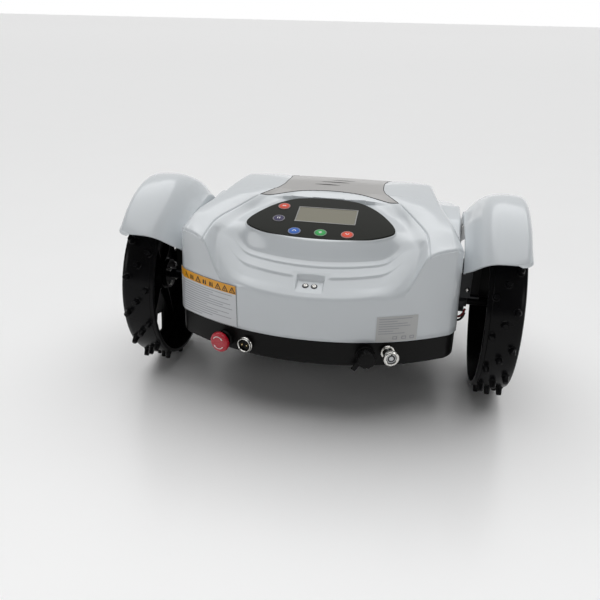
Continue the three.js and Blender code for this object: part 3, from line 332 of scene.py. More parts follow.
valley_x = curve([(-135, 106), (-123, 110), (-105, 117), (-92, 118), (-78, 110), (-28, 93),
                  (0, 78), (20, 66), (50, 58), (113, 60), (220, 64), (340, 52), (420, 32)])
groove_x = curve([(-130, 133), (-117, 132), (-80, 128), (-36, 111), (-12, 97), (-3, 91), (8, 83),
                  (20, 75), (30, 71), (50, 67.5), (80, 67), (113, 70), (160, 71), (220, 74),
                  (280, 72), (340, 62), (420, 40)])
rail_x = curve([(-130, 157), (-99, 156), (-64, 154), (0, 140), (60, 131), (100, 126), (150, 120),
                (220, 114), (300, 106), (372, 95), (420, 85)])
crown_z = curve([(-2, 243.8), (21, 247.8), (60, 248.6), (105, 244.6), (150, 235.3), (170, 230.7),
                 (200, 223), (250, 208), (300, 193), (350, 177), (390, 163), (420, 150)])
valley_z = curve([(-135, 170), (-123, 185), (-105, 205), (-92, 215), (-78, 222), (-28, 230),
                  (-5, 240), (20, 247)])
groove_z = curve([(-130, 212), (-117, 217), (-80, 228), (-36, 235), (-12, 241), (-3, 243.5),
                  (20, 247.6)])
rail_z = curve([(-130, 216), (-117, 218), (-99, 221), (-64, 233), (0, 241), (60, 247), (85, 247.2),
                (110, 243), (150, 233), (200, 219), (300, 188), (372, 165), (420, 148)])
shoulder_z = curve([(-110, 212), (-91, 209), (-60, 202), (0, 206), (40, 217), (86, 220), (130, 211),
                    (200, 196), (300, 172), (372, 153), (420, 146)])
rail_fall = curve([(-20, 1), (55, 0.32), (150, 0.5), (400, 1)])


def smooth(t):
    t = np.clip(t, 0, 1)
    return t * t * (3 - 2 * t)


def lerp(a, b, t):
    return a + (b - a) * t


def rear_y(x):
    return REAR_MID_Y - np.sqrt(REAR_R ** 2 - np.minimum(np.abs(x), REAR_R - 1) ** 2)


def base_y(x):
    return BASE_MID_Y - np.sqrt(BASE_R ** 2 - np.asarray(x, float) ** 2)


def to_base(x, y, share=1.0):
    """Moves rear points onto the flatter arc of the lower edges."""
    part = np.clip((-60 - y) / 30, 0, 1) * share
    return x, y + part * (base_y(x) - rear_y(x))


def nose_y(x):
    return NOSE_Y - NOSE_R + np.sqrt(NOSE_R ** 2 - np.minimum(np.abs(x), NOSE_R - 1) ** 2)


def half_width(y):
    t = np.clip((y - SIDE_END_Y) / (nose_y(NOSE_CORNER_X) - SIDE_END_Y), 0, 1)
    return SIDE_X - (SIDE_X - NOSE_CORNER_X) * t ** 1.6


def soft_min(p, q, reach):
    h = np.clip(0.5 + (q - p) / (2 * reach), 0, 1)
    return lerp(q, p, h) - reach * h * (1 - h)


def panel_plane(y):
    return PANEL_Z + math.tan(PANEL_TILT) * (y - PANEL_Y)


# Height of the apron against distance in from the rear arc: two risers with treads between.
APRON = ((-5, 159.1), (0, 163.8), (5, 168.5), (12, 174.4), (24.4, 184.2), (25.8, 187.2), (31, 190.2),
         (36.4, 193.4), (37.8, 196.0), (41, 197.3), (44, 198.9), (46.5, 202.6), (52, 212),
         (57.5, 220.6), (61, 225), (80, 238.8))
APRON_D = np.array([p[0] for p in APRON], float)
APRON_Z = np.array([p[1] for p in APRON], float)
NO_LOWER_RISER = ~np.isin(APRON_D, (24.4, 25.8))


def even_apron(d):
    return APRON_FOOT_Z + APRON_SLOPE * (d - APRON_FOOT_D)


def apron_z(a, x, d):
    """The stepped apron, its steps fading out towards the sides and stopping at the recess."""
    even = even_apron(d)
    bend = 0.00055 * a * a * smooth((d - 8) / 10) * (1 - smooth((d - 48) / 12))
    stepped = np.interp(d - bend, APRON_D, APRON_Z)
    single = np.interp(d - bend, APRON_D[NO_LOWER_RISER], APRON_Z[NO_LOWER_RISER])
    stepped = lerp(single, stepped, smooth((np.abs(x - RAIN_X) - 19) / 5))
    return lerp(even, stepped, 1 - smooth((a - 74) / 36))


def deck_z(a, x, y, detail):
    d = REAR_R - np.hypot(a, y - REAR_MID_Y)
    lift = 0.0008 * a * a * np.clip(1 - d / 61, 0, 1)
    apron = apron_z(a, x, d) if detail else even_apron(d)
    rear = soft_min(apron + lift, panel_plane(y), 1.2 if detail else 2.5)
    return np.where(y >= -2, crown_z(y), rear)


def rain_recess(x, y, z):
    """The height inside the rain sensor's recess: a sloping floor and a steep back wall."""
    floor = lerp(RECESS_LOW_Z, RECESS_HIGH_Z, (y - RECESS_FRONT_Y) / (RECESS_BACK_Y - RECESS_FRONT_Y))
    wall = RECESS_HIGH_Z + (y - RECESS_BACK_Y) * 12 / 2.5
    inside = np.where(y > RECESS_BACK_Y, wall, floor)
    side = np.clip((np.abs(x - RAIN_X) - RAIN_HALF + 0.7) / 1.4, 0, 1)
    side = np.maximum(side, smooth((y + 140) / 40) * smooth((np.abs(x - RAIN_X) - 9) / 7) * 0.6)
    return lerp(np.minimum(z, inside), z, side)


def insert_span(u):
    """Where the hood insert starts and ends along the machine, at a share of its half width."""
    return INSERT_START - INSERT_START_BOW * u * u, INSERT_END - INSERT_END_BOW * u * u


def insert_inset(x, y):
    """How far inside the hood insert's edge a place lies."""
    half = groove_x(y) - INSERT_GAP
    u = x / half
    start, end = insert_span(u)
    inside = np.minimum((1 - np.abs(u)) * half, y - start)
    return np.minimum(inside, end - y)


def top_z(x, y, detail=False):
    x, y = np.asarray(x, float), np.asarray(y, float)
    a = np.abs(x)
    av, ag, ao = valley_x(y), groove_x(y), rail_x(y)
    zv = np.where(y > 20, crown_z(y) - 0.4, valley_z(y))
    zg = np.where(y > 20, crown_z(y) - 0.8, groove_z(y))
    zo = rail_z(y)
    deck = lerp(deck_z(a, x, y, detail), zv, smooth((a - av + 34) / 34))
    cheek = lerp(zv, zg, smooth((a - av) / (ag - av)))
    t = (a - ag) / (ao - ag)
    rail = lerp(zg, zo, t) + 5 * t * (1 - t)
    t = (a - ao) / np.maximum(half_width(y) - ao, 1)
    side = lerp(zo, shoulder_z(y), smooth(np.minimum(1, t / rail_fall(y))))
    z = np.where(a < av, deck, np.where(a < ag, cheek, np.where(a < ao, rail, side)))
    if detail:
        line = np.exp(-((a - ag) / 0.9) ** 2) * (1 - smooth((y + 12) / 16))
        z = z - 1.5 * line - 1.8 * smooth((insert_inset(x, y) - 0.2) / 1.2)
        z = np.where(np.abs(x - RAIN_X) < RAIN_HALF + 1, rain_recess(x, y, z), z)
    return z


def plan_points(s, v, side=0.0, ends=0.0):
    """Where columns s cross rows v, set in from the outline. Returns x, y and the flat a, y."""
    s, v = np.broadcast_arrays(np.asarray(s, float), np.asarray(v, float))
    row = np.clip(v, rear_y(0) + ends, NOSE_Y - ends)
    rear = np.clip((100 - row) / 197, 0, 1)
    nose = np.clip((row - 150) / 270, 0, 1)
    y = row.copy()
    k = np.minimum(3, np.floor(np.abs(s))).astype(int)
    for _ in range(10):
        lines = np.stack([np.zeros_like(y), valley_x(y), groove_x(y), rail_x(y),
                          half_width(y) - side])
        low = np.take_along_axis(lines, k[None], 0)[0]
        high = np.take_along_axis(lines, k[None] + 1, 0)[0]
        a = low + (high - low) * (np.abs(s) - k)
        y = row + rear * (rear_y(a) - rear_y(0)) + nose * (nose_y(a) - nose_y(0))
    behind = row < REAR_MID_Y
    r = np.where(behind, REAR_CORNER_R, NOSE_CORNER_R)
    from_side = half_width(y) - side - a
    from_end = np.where(behind, REAR_R - np.hypot(a, y - REAR_MID_Y),
                        NOSE_R - np.hypot(a, y - NOSE_Y + NOSE_R)) - ends
    near = (from_side < r) & (from_end < r)
    u = np.where(near, 1 - np.maximum(0, from_side) / r, 0)
    w = np.where(near, 1 - np.maximum(0, from_end) / r, 0)
    p = r * (u - u * np.sqrt(1 - w * w / 2))
    q = r * (w - w * np.sqrt(1 - u * u / 2))
    edge = np.minimum(from_side, from_end)
    return np.sign(s) * (a - p), y + np.where(behind, q, -q), a, y, edge


def stations(*spans):
    """Places along a line from (start, end, count) spans, once each."""
    return np.unique(np.concatenate([np.linspace(a, b, n) for a, b, n in spans]).round(5))


def rim_of(rows, columns):
    rim = [(0, j) for j in range(columns)]
    rim += [(i, columns - 1) for i in range(1, rows)]
    rim += [(rows - 1, j) for j in range(columns - 2, -1, -1)]
    rim += [(i, 0) for i in range(rows - 2, 0, -1)]
    return rim


HALF = stations((0, 0.17, 30), (0.17, 1, 44), (1, 2, 18), (2, 2.08, 5), (2.08, 3, 22),
                (3, 3.9, 22), (3.9, 4, 11))
COLUMNS = np.concatenate([-HALF[:0:-1], HALF])
ROWS = stations((-153.6, -97, 126), (-97, 60, 84), (60, 411, 110), (411, 420 - DRAFT, 9))
SKIRT_LEVELS = 10


def skirt_rings():
    """The cover's rim, after its edge is rounded, and the skirt's lower edge below it."""
    s, v = np.meshgrid(COLUMNS, ROWS)
    x, y, a, flat, edge = plan_points(s, v, SIDE_DRAFT, DRAFT)
    e = np.clip(edge, 0, RIM_R)
    z = top_z(np.sign(x + 1e-9) * a, flat, detail=True) - RIM_R
    z = z + np.sqrt(RIM_R ** 2 - (RIM_R - e) ** 2)
    rim = rim_of(*z.shape)
    cs = np.array([COLUMNS[j] for i, j in rim])
    rows_out = np.array([0 if i == 0 else 1 if i == len(ROWS) - 1 else 2 for i, j in rim])
    cv = np.array([ROWS[i] for i, j in rim])
    cv = np.where(rows_out == 0, cv - DRAFT, np.where(rows_out == 1, cv + DRAFT, cv))
    lx, ly, _, _, _ = plan_points(cs, cv)
    lx, ly = to_base(lx, ly)
    return x, y, z, rim, np.stack([lx, ly, np.full(len(rim), SKIRT_Z)], -1)


def top_cover():
    x, y, z, rim, low = skirt_rings()
    rows, columns = z.shape
    flat = np.stack([x, y, z], -1).reshape(-1, 3)
    faces = grid_faces(rows, columns)
    first = [i * columns + j for i, j in rim]
    top = flat[first]
    points = [flat]
    base, n = rows * columns, len(rim)
    for level in range(1, SKIRT_LEVELS + 1):
        points.append(top + (low - top) * level / SKIRT_LEVELS)
    for level in range(SKIRT_LEVELS):
        for k in range(n):
            m = (k + 1) % n
            above = first if level == 0 else range(base + (level - 1) * n, base + level * n)
            faces.append((above[k], base + level * n + k, base + level * n + m, above[m]))
    obj = piece("cover_shell", np.vstack(points), faces, WHITE, "chassis", ("top_cover",), angle=50)
    shell = obj.modifiers.new("wall", "SOLIDIFY")
    shell.thickness = WALL * MM
    shell.offset = -1


# ------------------------------------------------------------------ hood insert
def insert_points(u, t, lift):
    start, end = insert_span(u)
    y = start + (end - start) * t
    x = u * (groove_x(y) - INSERT_GAP)
    return np.stack([x, y, top_z(x, y) + lift], -1)


def hood_insert():
    u = np.linspace(-1, 1, 61)
    t = np.linspace(0, 1, 140)
    uu, tt = np.meshgrid(u, t)
    p = insert_points(uu, tt, 0.12)
    rows, columns = uu.shape
    faces = grid_faces(rows, columns)
    rim = rim_of(rows, columns)
    flat = p.reshape(-1, 3)
    edge = np.array([flat[i * columns + j] for i, j in rim])
    low = edge - np.array([0, 0, 2.4])
    start = len(flat)
    n = len(rim)
    for k in range(n):
        m = (k + 1) % n
        a0 = rim[k][0] * columns + rim[k][1]
        a1 = rim[m][0] * columns + rim[m][1]
        faces.append((a0, start + k, start + m, a1))
    piece("insert_skin", np.vstack([flat, low]), faces, INSERT, "chassis", ("hood_insert",), angle=60)
    seam_shadow_line("insert_seam_shadow", edge[:, :2], 0.25, 0.5)
    for k, (x, y, w) in enumerate(((-9, 50, 36), (0, 66, 42), (9, 82, 36))):
        slit("insert_slit_shade_%d" % (k + 1), x, y, w)


def seam_shadow_line(name, outline, lift, radius):
    """A thin dark tube that follows the surface where two covers meet: painted shadow of the gap between
    them.
    """
    data = bpy.data.curves.new(name, "CURVE")
    data.dimensions = "3D"
    data.bevel_depth = radius * MM
    data.bevel_resolution = 2
    line = data.splines.new("POLY")
    line.points.add(len(outline) - 1)
    z = top_z(outline[:, 0], outline[:, 1]) + lift - radius * 0.6
    for point, (x, y), h in zip(line.points, outline, z):
        point.co = (x * MM, (y + AXLE_Y) * MM, h * MM, 1)
    line.use_cyclic_u = True
    data.materials.append(PAINTED_SHADE)
    obj = bpy.data.objects.new(name, data)
    bpy.context.collection.objects.link(obj)
    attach(obj, "chassis")


def slit(name, x, y, w):
    """A lens-shaped slot in the insert, drawn as a flat dark sheet just above the surface: painted shade
    of the slot's depth.
    """
    t = np.linspace(0, 1, 33)
    upper = np.stack([x - w / 2 + w * t, y + 2.3 * np.sin(math.pi * t)], -1)
    lower = np.stack([x + w / 2 - w * t, y - 1.1 * np.sin(math.pi * t)], -1)
    ring = np.vstack([upper, lower[1:-1]])
    z = top_z(ring[:, 0], ring[:, 1]) + 0.3
    points = np.column_stack([ring, z])
    piece(name, points, [tuple(range(len(points)))], PAINTED_SHADE, "chassis", smooth=False)


# ------------------------------------------------------------------ control panel
PANEL_M = (Matrix.Translation((0, PANEL_Y, PANEL_Z)) @ Matrix.Rotation(PANEL_TILT, 4, "X"))


def on_panel(place_xy):
    x, y = place_xy
    return x, (y - PANEL_Y) / math.cos(PANEL_TILT)


def closed_spline(points, count):
    """A smooth closed line through 2-D points."""
    p = np.array(points, float)
    n = len(p)
    out = []
    for k in range(count):
        f = k * n / count
        i, t = int(f), f - int(f)
        a, b, c, d = (p[(i + j) % n] for j in (-1, 0, 1, 2))
        out.append(0.5 * (2 * b + (c - a) * t + (2 * a - 5 * b + 4 * c - d) * t * t
                          + (3 * b - a - 3 * c + d) * t ** 3))
    return np.array(out)


def panel_outline(grow=0.0, count=PANEL_SIDES):
    right = [(0, -97.5), (38, -95.5), (64, -89.5), (84, -79), (90, -69), (84, -52), (66, -27),
             (44, -10), (22, -4.2)]
    left = [(-x, y) for x, y in right[:0:-1]]
    ring = closed_spline([on_panel(p) for p in right + [(0, -3)] + left], count)
    centre = np.array([0, -5.0])
    scale = np.array([1 + grow / 90, 1 + grow / 48])
    return (ring - centre) * scale + centre


def control_panel():
    levels = [(0.0, -2.4), (0.0, 0.05), (-0.3, 0.3), (-0.9, 0.38)]
    rings = [np.column_stack([panel_outline(g), np.full(PANEL_SIDES, h)]) for g, h in levels]
    points = np.vstack(rings)
    faces = grid_faces(len(levels), PANEL_SIDES, closed=True)
    top = (len(levels) - 1) * PANEL_SIDES
    faces.append(tuple(range(top, top + PANEL_SIDES)))
    piece("panel_film_plate", moved(points, PANEL_M), faces, PANEL, "chassis", ("control_panel",),
          angle=40)
    rim = [np.column_stack([panel_outline(g), np.full(PANEL_SIDES, h)])
           for g, h in ((1.7, -2.4), (1.1, -1.6), (0.15, -1.2))]
    piece("panel_seat_rim", moved(np.vstack(rim), PANEL_M), grid_faces(3, PANEL_SIDES, closed=True), WHITE,
          "chassis")


def display():
    x0, x1 = LCD_X - LCD_W / 2, LCD_X + LCD_W / 2
    y0, y1 = -LCD_H / 2, LCD_H / 2
    glass = block((x0 + 1.2, y0 + 1.2, -2), (x1 - 1.2, y1 - 1.2, 0.5))
    piece("display_window", *shifted(glass, PANEL_M), LCD, "chassis", ("lcd_screen",),
          bevel=0.2)
    bars = [block((x0 - 0.2, y0 - 0.2, 0.2), (x1 + 0.2, y0 + 1.2, 0.75)),
            block((x0 - 0.2, y1 - 1.2, 0.2), (x1 + 0.2, y1 + 0.2, 0.75)),
            block((x0 - 0.2, y0 + 1.2, 0.2), (x0 + 1.2, y1 - 1.2, 0.75)),
            block((x1 - 1.2, y0 + 1.2, 0.2), (x1 + 0.2, y1 - 1.2, 0.75))]
    points, faces = joined(bars)
    piece("display_rim", moved(points, PANEL_M), faces, LCD_FRAME, "chassis", bevel=0.3)


def glyph_bars(kind):
    """A plain mark on a button, made of short bars: [centre x, y, width, height, turn]."""
    return {
        "red_upper_button": [(0, 0.6, 4.4, 0.9, 0), (0, -1.0, 4.4, 0.9, 0)],
        "purple_button": [(-1.2, 0, 0.9, 3.6, 0), (1.2, 0, 0.9, 3.6, 0)],
        "blue_button": [(-1.2, 0.1, 3.2, 0.9, 50), (1.2, 0.1, 3.2, 0.9, -50)],
        "green_button": [(0, 0, 4.2, 0.9, 0), (0, 1.5, 2.4, 0.8, 0), (0, -1.5, 2.4, 0.8, 0)],
        "red_lower_button": [(-1.2, 0.3, 3.2, 0.9, -50), (1.2, 0.3, 3.2, 0.9, 50)],
    }[kind]


def button(name):
    x, y = on_panel(BUTTONS[name])
    here = PANEL_M @ Matrix.Translation((x, y, 0))
    r = BUTTON_R
    mat = finish_of(name + "_cap", BUTTON_MATS[name], 0.38, speckle=0.05, grain=1200, bump=0.04,
                    ior=1.3)
    cap = turned([(0, -3.0), (r - 1.9, -3.0), (r - 1.9, 0.9), (r - 2.2, 1.2), (3.0, 1.42), (0, 1.45)],
                 48)
    piece(name + "_face", *shifted(cap, here), mat, name + "_key", (name,), angle=30)
    ring_colour = tuple(0.4 * c + 0.16 for c in BUTTON_MATS[name])
    ring_mat = finish_of(name + "_ring", ring_colour, 0.4, speckle=0.06)
    ring = turned([(r - 1.75, -0.2), (r - 0.5, -0.2), (r - 0.5, 0.8), (r - 0.8, 1.0), (r - 1.6, 1.0),
                   (r - 1.75, 0.8)], 48)
    piece(name + "_ring", *shifted(ring, here), ring_mat, name + "_key", angle=30)
    marks = []
    for cx, cy, w, h, turn in glyph_bars(name):
        bar = block((-w / 2, -h / 2, 1.2), (w / 2, h / 2, 1.52))
        spin = Matrix.Translation((cx, cy, 0)) @ Matrix.Rotation(math.radians(turn), 4, "Z")
        marks.append(shifted(bar, spin))
    points, faces = joined(marks)
    piece(name + "_mark", moved(points, here), faces, MARK_WHITE, name + "_key", smooth=False)


# ------------------------------------------------------------------ wheel covers
ARCH = [(173.2, 97, 97), (173.2, 101, 115), (175.5, 103.4, 117), (178, 106, 119), (182, 111, 124),
        (187, 119.5, 129), (192, 127.5, 133.5), (199, 134.5, 136.5), (206, 137.8, 138.1),
        (213, 139.1, 139.1), (219, 139.5, 139.5), (227, 139.4, 139.4),
        (235, 138.8, 138.8), (239, 137.9, 137.9), (242.4, 135.6, 135.6), (244.6, 131.6, 131.6),
        (245.6, 126.5, 126.5), (246, 121, 121), (246, 116, 116), (246, 112.5, 112.5)]
COVER_REAR, COVER_FRONT = 40.8, 158.0


def wheel_cover(side, name, node):
    fine = 5
    x = np.array([p[0] for p in ARCH], float)
    index = np.arange(len(x), dtype=float)
    at = np.linspace(0, len(x) - 1, (len(x) - 1) * fine + 1)
    section = np.stack([catmull(index, np.array([p[k] for p in ARCH], float), at)
                        for k in range(3)])
    steps = 120
    angles = np.concatenate([np.linspace(COVER_REAR, COVER_REAR + 6, 14)[:-1],
                             np.linspace(COVER_REAR + 6, COVER_FRONT, steps)])
    outside = []
    for angle in angles:
        ahead = smooth((angle - 90) / 30)
        r = lerp(section[1], section[2], ahead)
        corner = np.clip(1 - (angle - COVER_REAR) / 3.6, 0, 1)
        pull = 12 * (1 - math.sqrt(max(0.0, 1 - corner ** 2)))
        px = section[0] - pull * smooth((section[0] - 226) / 16)
        rise = (1 - smooth((angle - COVER_REAR) / 13)) * smooth((section[0] - 242) / 2)
        r = np.where(r < 134, lerp(r, 134 - 0.12 * (134 - r), rise), r)
        t = math.radians(angle)
        outside.append(np.stack([side * px, -r * math.cos(t), AXLE_Z + r * math.sin(t)], -1))
    grid = np.array(outside)
    rows, columns = grid.shape[:2]
    obj = piece(name, grid.reshape(-1, 3), grid_faces(rows, columns), WHITE, "chassis", (node,),
                angle=60)
    shell = obj.modifiers.new("wall", "SOLIDIFY")
    shell.thickness = WALL * MM
    inward = normal_points_out(obj, Vector((side * 0.215, AXLE_Y * MM, AXLE_Z * MM)))
    shell.offset = -1 if inward else 1
    edges = obj.modifiers.new("lip", "BEVEL")
    edges.width = 0.9 * MM
    edges.segments = 3
    edges.limit_method = "ANGLE"
    edges.angle_limit = math.radians(60)


def normal_points_out(obj, centre):
    total = 0.0
    for poly in obj.data.polygons:
        total += poly.normal.dot(poly.center - centre) * poly.area
    return total > 0


def catmull(x, y, at):
    i = np.clip(at.astype(int), 0, len(x) - 2)
    t = at - i
    p0 = y[np.maximum(i - 1, 0)]
    p1, p2 = y[i], y[i + 1]
    p3 = y[np.minimum(i + 2, len(y) - 1)]
    return 0.5 * (2 * p1 + (p2 - p0) * t + (2 * p0 - 5 * p1 + 4 * p2 - p3) * t * t
                  + (3 * p1 - p0 - 3 * p2 + p3) * t ** 3)


# ------------------------------------------------------------------ drive wheels
WINDOW_TURN = 79.0


def wheel_frame(side):
    return Matrix.Translation((0, 0, AXLE_Z)) @ Matrix.Rotation(0 if side > 0 else math.pi, 4, "Z")


def drive_wheel(side, prefix):
    body = prefix + "drive"
    here = wheel_frame(side)
    rim = turned([(TREAD_R - 4.5, WHEEL_IN), (TREAD_R - 1.5, WHEEL_IN), (TREAD_R - 0.4, WHEEL_IN + 0.6),
                  (TREAD_R, WHEEL_IN + 2), (TREAD_R, WHEEL_IN + 4.6), (TREAD_R - 0.7, WHEEL_IN + 5.2),
                  (TREAD_R - 0.2, WHEEL_IN + 6), (TREAD_R, WHEEL_IN + 14), (TREAD_R, WHEEL_OUT - 8),
                  (TREAD_R - 0.6, WHEEL_OUT - 4), (TREAD_R - 2.4, WHEEL_OUT - 1),
                  (TREAD_R - 4.5, WHEEL_OUT), (TREAD_R - 8, WHEEL_OUT), (TREAD_R - 10, WHEEL_OUT - 1.5),
                  (TREAD_R - 11, WEB_X + 3), (TREAD_R - 11, WEB_X - 0.5), (TREAD_R - 7, WEB_X - 4),
                  (TREAD_R - 5, WEB_X - 12)], 128, "x")
    piece(prefix + "rim", *shifted(rim, here), WHEEL, body, (prefix + "wheel",), angle=30)
    studs = []
    for k in range(STUDS):
        across = (WHEEL_OUT - 9, (WHEEL_IN + WHEEL_OUT) / 2, WHEEL_IN + 9)[k % 3]
        spin = Matrix.Rotation(2 * math.pi * k / STUDS, 4, "X") @ Matrix.Translation((across, 0, 0))
        peg = turned([(0, TREAD_R - 3), (5.2, TREAD_R - 3), (4.9, TREAD_R + 0.2), (4.0, TREAD_R + 1.2),
                      (3.3, STUD_TIP_R - 1.3), (2.7, STUD_TIP_R - 0.3), (0, STUD_TIP_R - 0.1)], 18)
        studs.append(shifted(peg, here @ spin))
    piece(prefix + "studs", *joined(studs), WHEEL, body, angle=32)
    web_plate(prefix, here, body)
    boss = turned([(0, WEB_X - 12), (20, WEB_X - 12), (22, WEB_X - 11), (24.5, WEB_X - 2),
                   (24.5, WEB_X + 4), (23, WHEEL_OUT - 0.5), (20, WHEEL_OUT + 1), (8, WHEEL_OUT + 1.9),
                   (0, WHEEL_OUT + 2)], 64, "x")
    piece(prefix + "boss", *shifted(boss, here), WHEEL, body, angle=30)
    screws = []
    for i in range(4):
        t = math.radians(45 + 90 * i)
        spin = Matrix.Translation((0, 14 * math.cos(t), 14 * math.sin(t)))
        head = turned([(0, 216.6), (1.7, 216.6), (1.7, 218.4), (0, 218.4)][::-1]
                      + [(0, 220.6), (3.4, 220.6), (3.4, 217.2), (2.9, 216.6), (1.7, 216.6)], 20, "x")
        screws.append(shifted(head, here @ spin))
    piece(prefix + "hub_bolts", *joined(screws), NICKEL, body, angle=30)


def web_plate(prefix, here, body):
    """The wheel's web: a plate with three windows, and six ribs."""
    rings = stations((23, WINDOW_IN, 10), (WINDOW_IN, WINDOW_OUT, 8), (WINDOW_OUT, 101, 5))
    turns = 180
    points, faces = [], []
    for r in rings:
        for j in range(turns):
            t = 2 * math.pi * j / turns
            points.append((WEB_X + 1.5 - 1.5 * math.sin(math.pi * (r - 23) / 78), r * math.cos(t),
                           r * math.sin(t)))
    for i in range(len(rings) - 1):
        for j in range(turns):
            mid = 0.5 * (rings[i] + rings[i + 1])
            angle = ((j + 0.5) * 360 / turns + WINDOW_TURN + 60) % 120 - 60
            if WINDOW_IN <= mid <= WINDOW_OUT and abs(angle) < WINDOW_HALF_TURN:
                continue
            m = (j + 1) % turns
            faces.append((i * turns + j, i * turns + m, (i + 1) * turns + m, (i + 1) * turns + j))
    obj = piece(prefix + "web", moved(points, here), faces, WHEEL, body)
    plate = obj.modifiers.new("plate", "SOLIDIFY")
    plate.thickness = 3.4 * MM
    plate.offset = 0
    edge = obj.modifiers.new("edges", "BEVEL")
    edge.width = 0.8 * MM
    edge.segments = 2
    edge.limit_method = "ANGLE"
    ribs = []
    for k in range(6):
        spin = Matrix.Rotation(math.radians(60 * k - WINDOW_TURN + 30), 4, "X")
        rib = block((WEB_X - 7, 22, -1.6), (WEB_X + 0.5, TREAD_R - 8, 1.6))
        ribs.append(shifted(rib, here @ spin))
    rib_points, rib_faces = joined(ribs)
    piece(prefix + "web_ribs", rib_points, rib_faces, WHEEL, body, bevel=0.6)


# ------------------------------------------------------------------ chassis pan
def outline_ring(inset, z):
    rows = np.linspace(rear_y(0), NOSE_Y, 90)
    half = stations((0, 3, 13), (3, 3.8, 10), (3.8, 4, 7))
    columns = np.concatenate([-half[:0:-1], half])
    rim = rim_of(len(rows), len(columns))
    s = np.array([columns[j] for i, j in rim])
    v = np.array([rows[i] for i, j in rim])
    v = np.where(v > 300, np.minimum(v, NOSE_Y - PAN_NOSE_SET_BACK - inset + PAN_INSET), v)
    x, y, _, _, _ = plan_points(s, v, inset, inset)
    x, y = to_base(x, y)
    return np.stack([x, y, np.full(len(x), z)], -1)


def chassis_pan():
    levels = [(20, PAN_Z), (4.6, PAN_Z), (3.0, PAN_Z + 0.3), (2.0, PAN_Z + 1.1), (1.5, PAN_Z + 2.6),
              (1.5, PAN_Z + 12), (1.5, PAN_Z + 30.6), (2.1, PAN_Z + 31.3), (6.5, PAN_Z + 31.4),
              (6.5, PAN_Z + 36.5)]
    rings = [outline_ring(inset, z) for inset, z in levels]
    n = len(rings[0])
    faces = grid_faces(len(rings), n, closed=True)
    faces.append(tuple(range(n - 1, -1, -1)))
    piece("pan_shell", np.vstack(rings), faces, CHASSIS, "chassis", ("chassis_pan",), angle=30)
    bosses = []
    for side in (-1, 1):
        boss = turned([(6.2, PAN_Z - 10), (12, PAN_Z - 10), (13, PAN_Z - 9), (14.5, PAN_Z + 1),
                       (6.2, PAN_Z + 1)], 40)
        bosses.append(shifted(boss, Matrix.Translation((side * 102, 342, 0))))
        bosses.append(block((side * 30 - 2, -8, PAN_Z - 3), (side * 30 + 2, 12, PAN_Z + 1)))
        bosses.append(block((side * 90 - 2, 322, PAN_Z - 4), (side * 90 + 2, 336, PAN_Z + 1)))
    piece("pan_bosses", *joined(bosses), CHASSIS, "chassis", bevel=0.5)
    screw_row("pan_screws", [(-150, -60), (150, -60), (-140, 285), (140, 285), (-60, 388), (60, 388)],
              PAN_Z)
    screw_row("hatch_screws", [(sx * 83.5, y) for sx in (-1, 1) for y in (-107.5, -16.5)], PAN_Z - 3.5)


def screw_row(name, places, z):
    """Cross-head screws seen from below."""
    shapes = []
    for x, y in places:
        head = turned([(0, z - 1.0), (1.0, z - 1.0), (1.2, z - 2.0), (2.6, z - 1.7), (3.4, z - 0.9),
                       (3.5, z + 0.2), (0, z + 0.2)], 24)
        shapes.append(shifted(head, Matrix.Translation((x, y, 0))))
    piece(name, *joined(shapes), NICKEL, "chassis", angle=30)


# ------------------------------------------------------------------ rear fittings
def fitting_frame(x, z):
    turn = math.asin(x / FITTING_R)
    spot = (x, BASE_MID_Y - FITTING_R * math.cos(turn), z)
    return Matrix.Translation(spot) @ Matrix.Rotation(turn, 4, "Z")


STOP = fitting_frame(-102.5, 95.5)
SOCKET = fitting_frame(-73.3, 97)
SERVICE = fitting_frame(68.5, 100)
LOCK = fitting_frame(93.4, 103)


def round_piece(name, profile, here, mat, body, node=(), sides=64, angle=28):
    shape = turned(profile, sides, "out", here)
    return piece(name, shape[0], shape[1], mat, body, node, angle=angle)


def arc_strip(radius, width, start, end, out, here, arrow=0.0):
    """A flat printed arc on a round face, with an arrow head at its end."""
    steps = 24
    points, faces = [], []
    for i in range(steps + 1):
        t = math.radians(start + (end - start) * i / steps)
        for r in (radius - width / 2, radius + width / 2):
            points.append((r * math.cos(t), -out, r * math.sin(t)))
    for i in range(steps):
        faces.append((2 * i, 2 * i + 1, 2 * i + 3, 2 * i + 2))
    if arrow:
        t = math.radians(end)
        tip = math.radians(end + arrow * (1 if end > start else -1))
        k = len(points)
        for r, turn in ((radius - width * 1.6, t), (radius + width * 1.6, t), (radius, tip)):
            points.append((r * math.cos(turn), -out, r * math.sin(turn)))
        faces.append((k, k + 1, k + 2))
    return moved(points, here), faces


def stop_button():
    round_piece("stop_collar", [(6.6, -6), (7.4, -6), (7.4, 0.6), (10.8, 0.6), (11.0, 1.6), (10.6, 2.6),
                                (9.8, 3.6), (6.8, 3.6)], STOP, TRIM, "chassis", ("estop_collar",))
    foot = 8.4
    profile = [(0, 8.6), (6.5, 8.6), (6.5, foot), (11.4, foot), (12.3, foot + 0.6), (12.7, foot + 2),
               (12.6, foot + 4.2), (12.0, foot + 5.6), (10.8, foot + 6.4), (8.8, foot + 6.75),
               (5.5, foot + 6.7), (0, foot + 6.6)]
    round_piece("stop_mushroom", profile, STOP, STOP_RED, "stop_knob", ("estop_head",), 80)
    marks = [arc_strip(7.8, 0.9, 150, 55, foot + 6.86, STOP, 22),
             arc_strip(7.8, 0.9, 330, 235, foot + 6.86, STOP, 22)]
    piece("stop_arrows", *joined(marks), MARK_WHITE, "stop_knob", smooth=False)


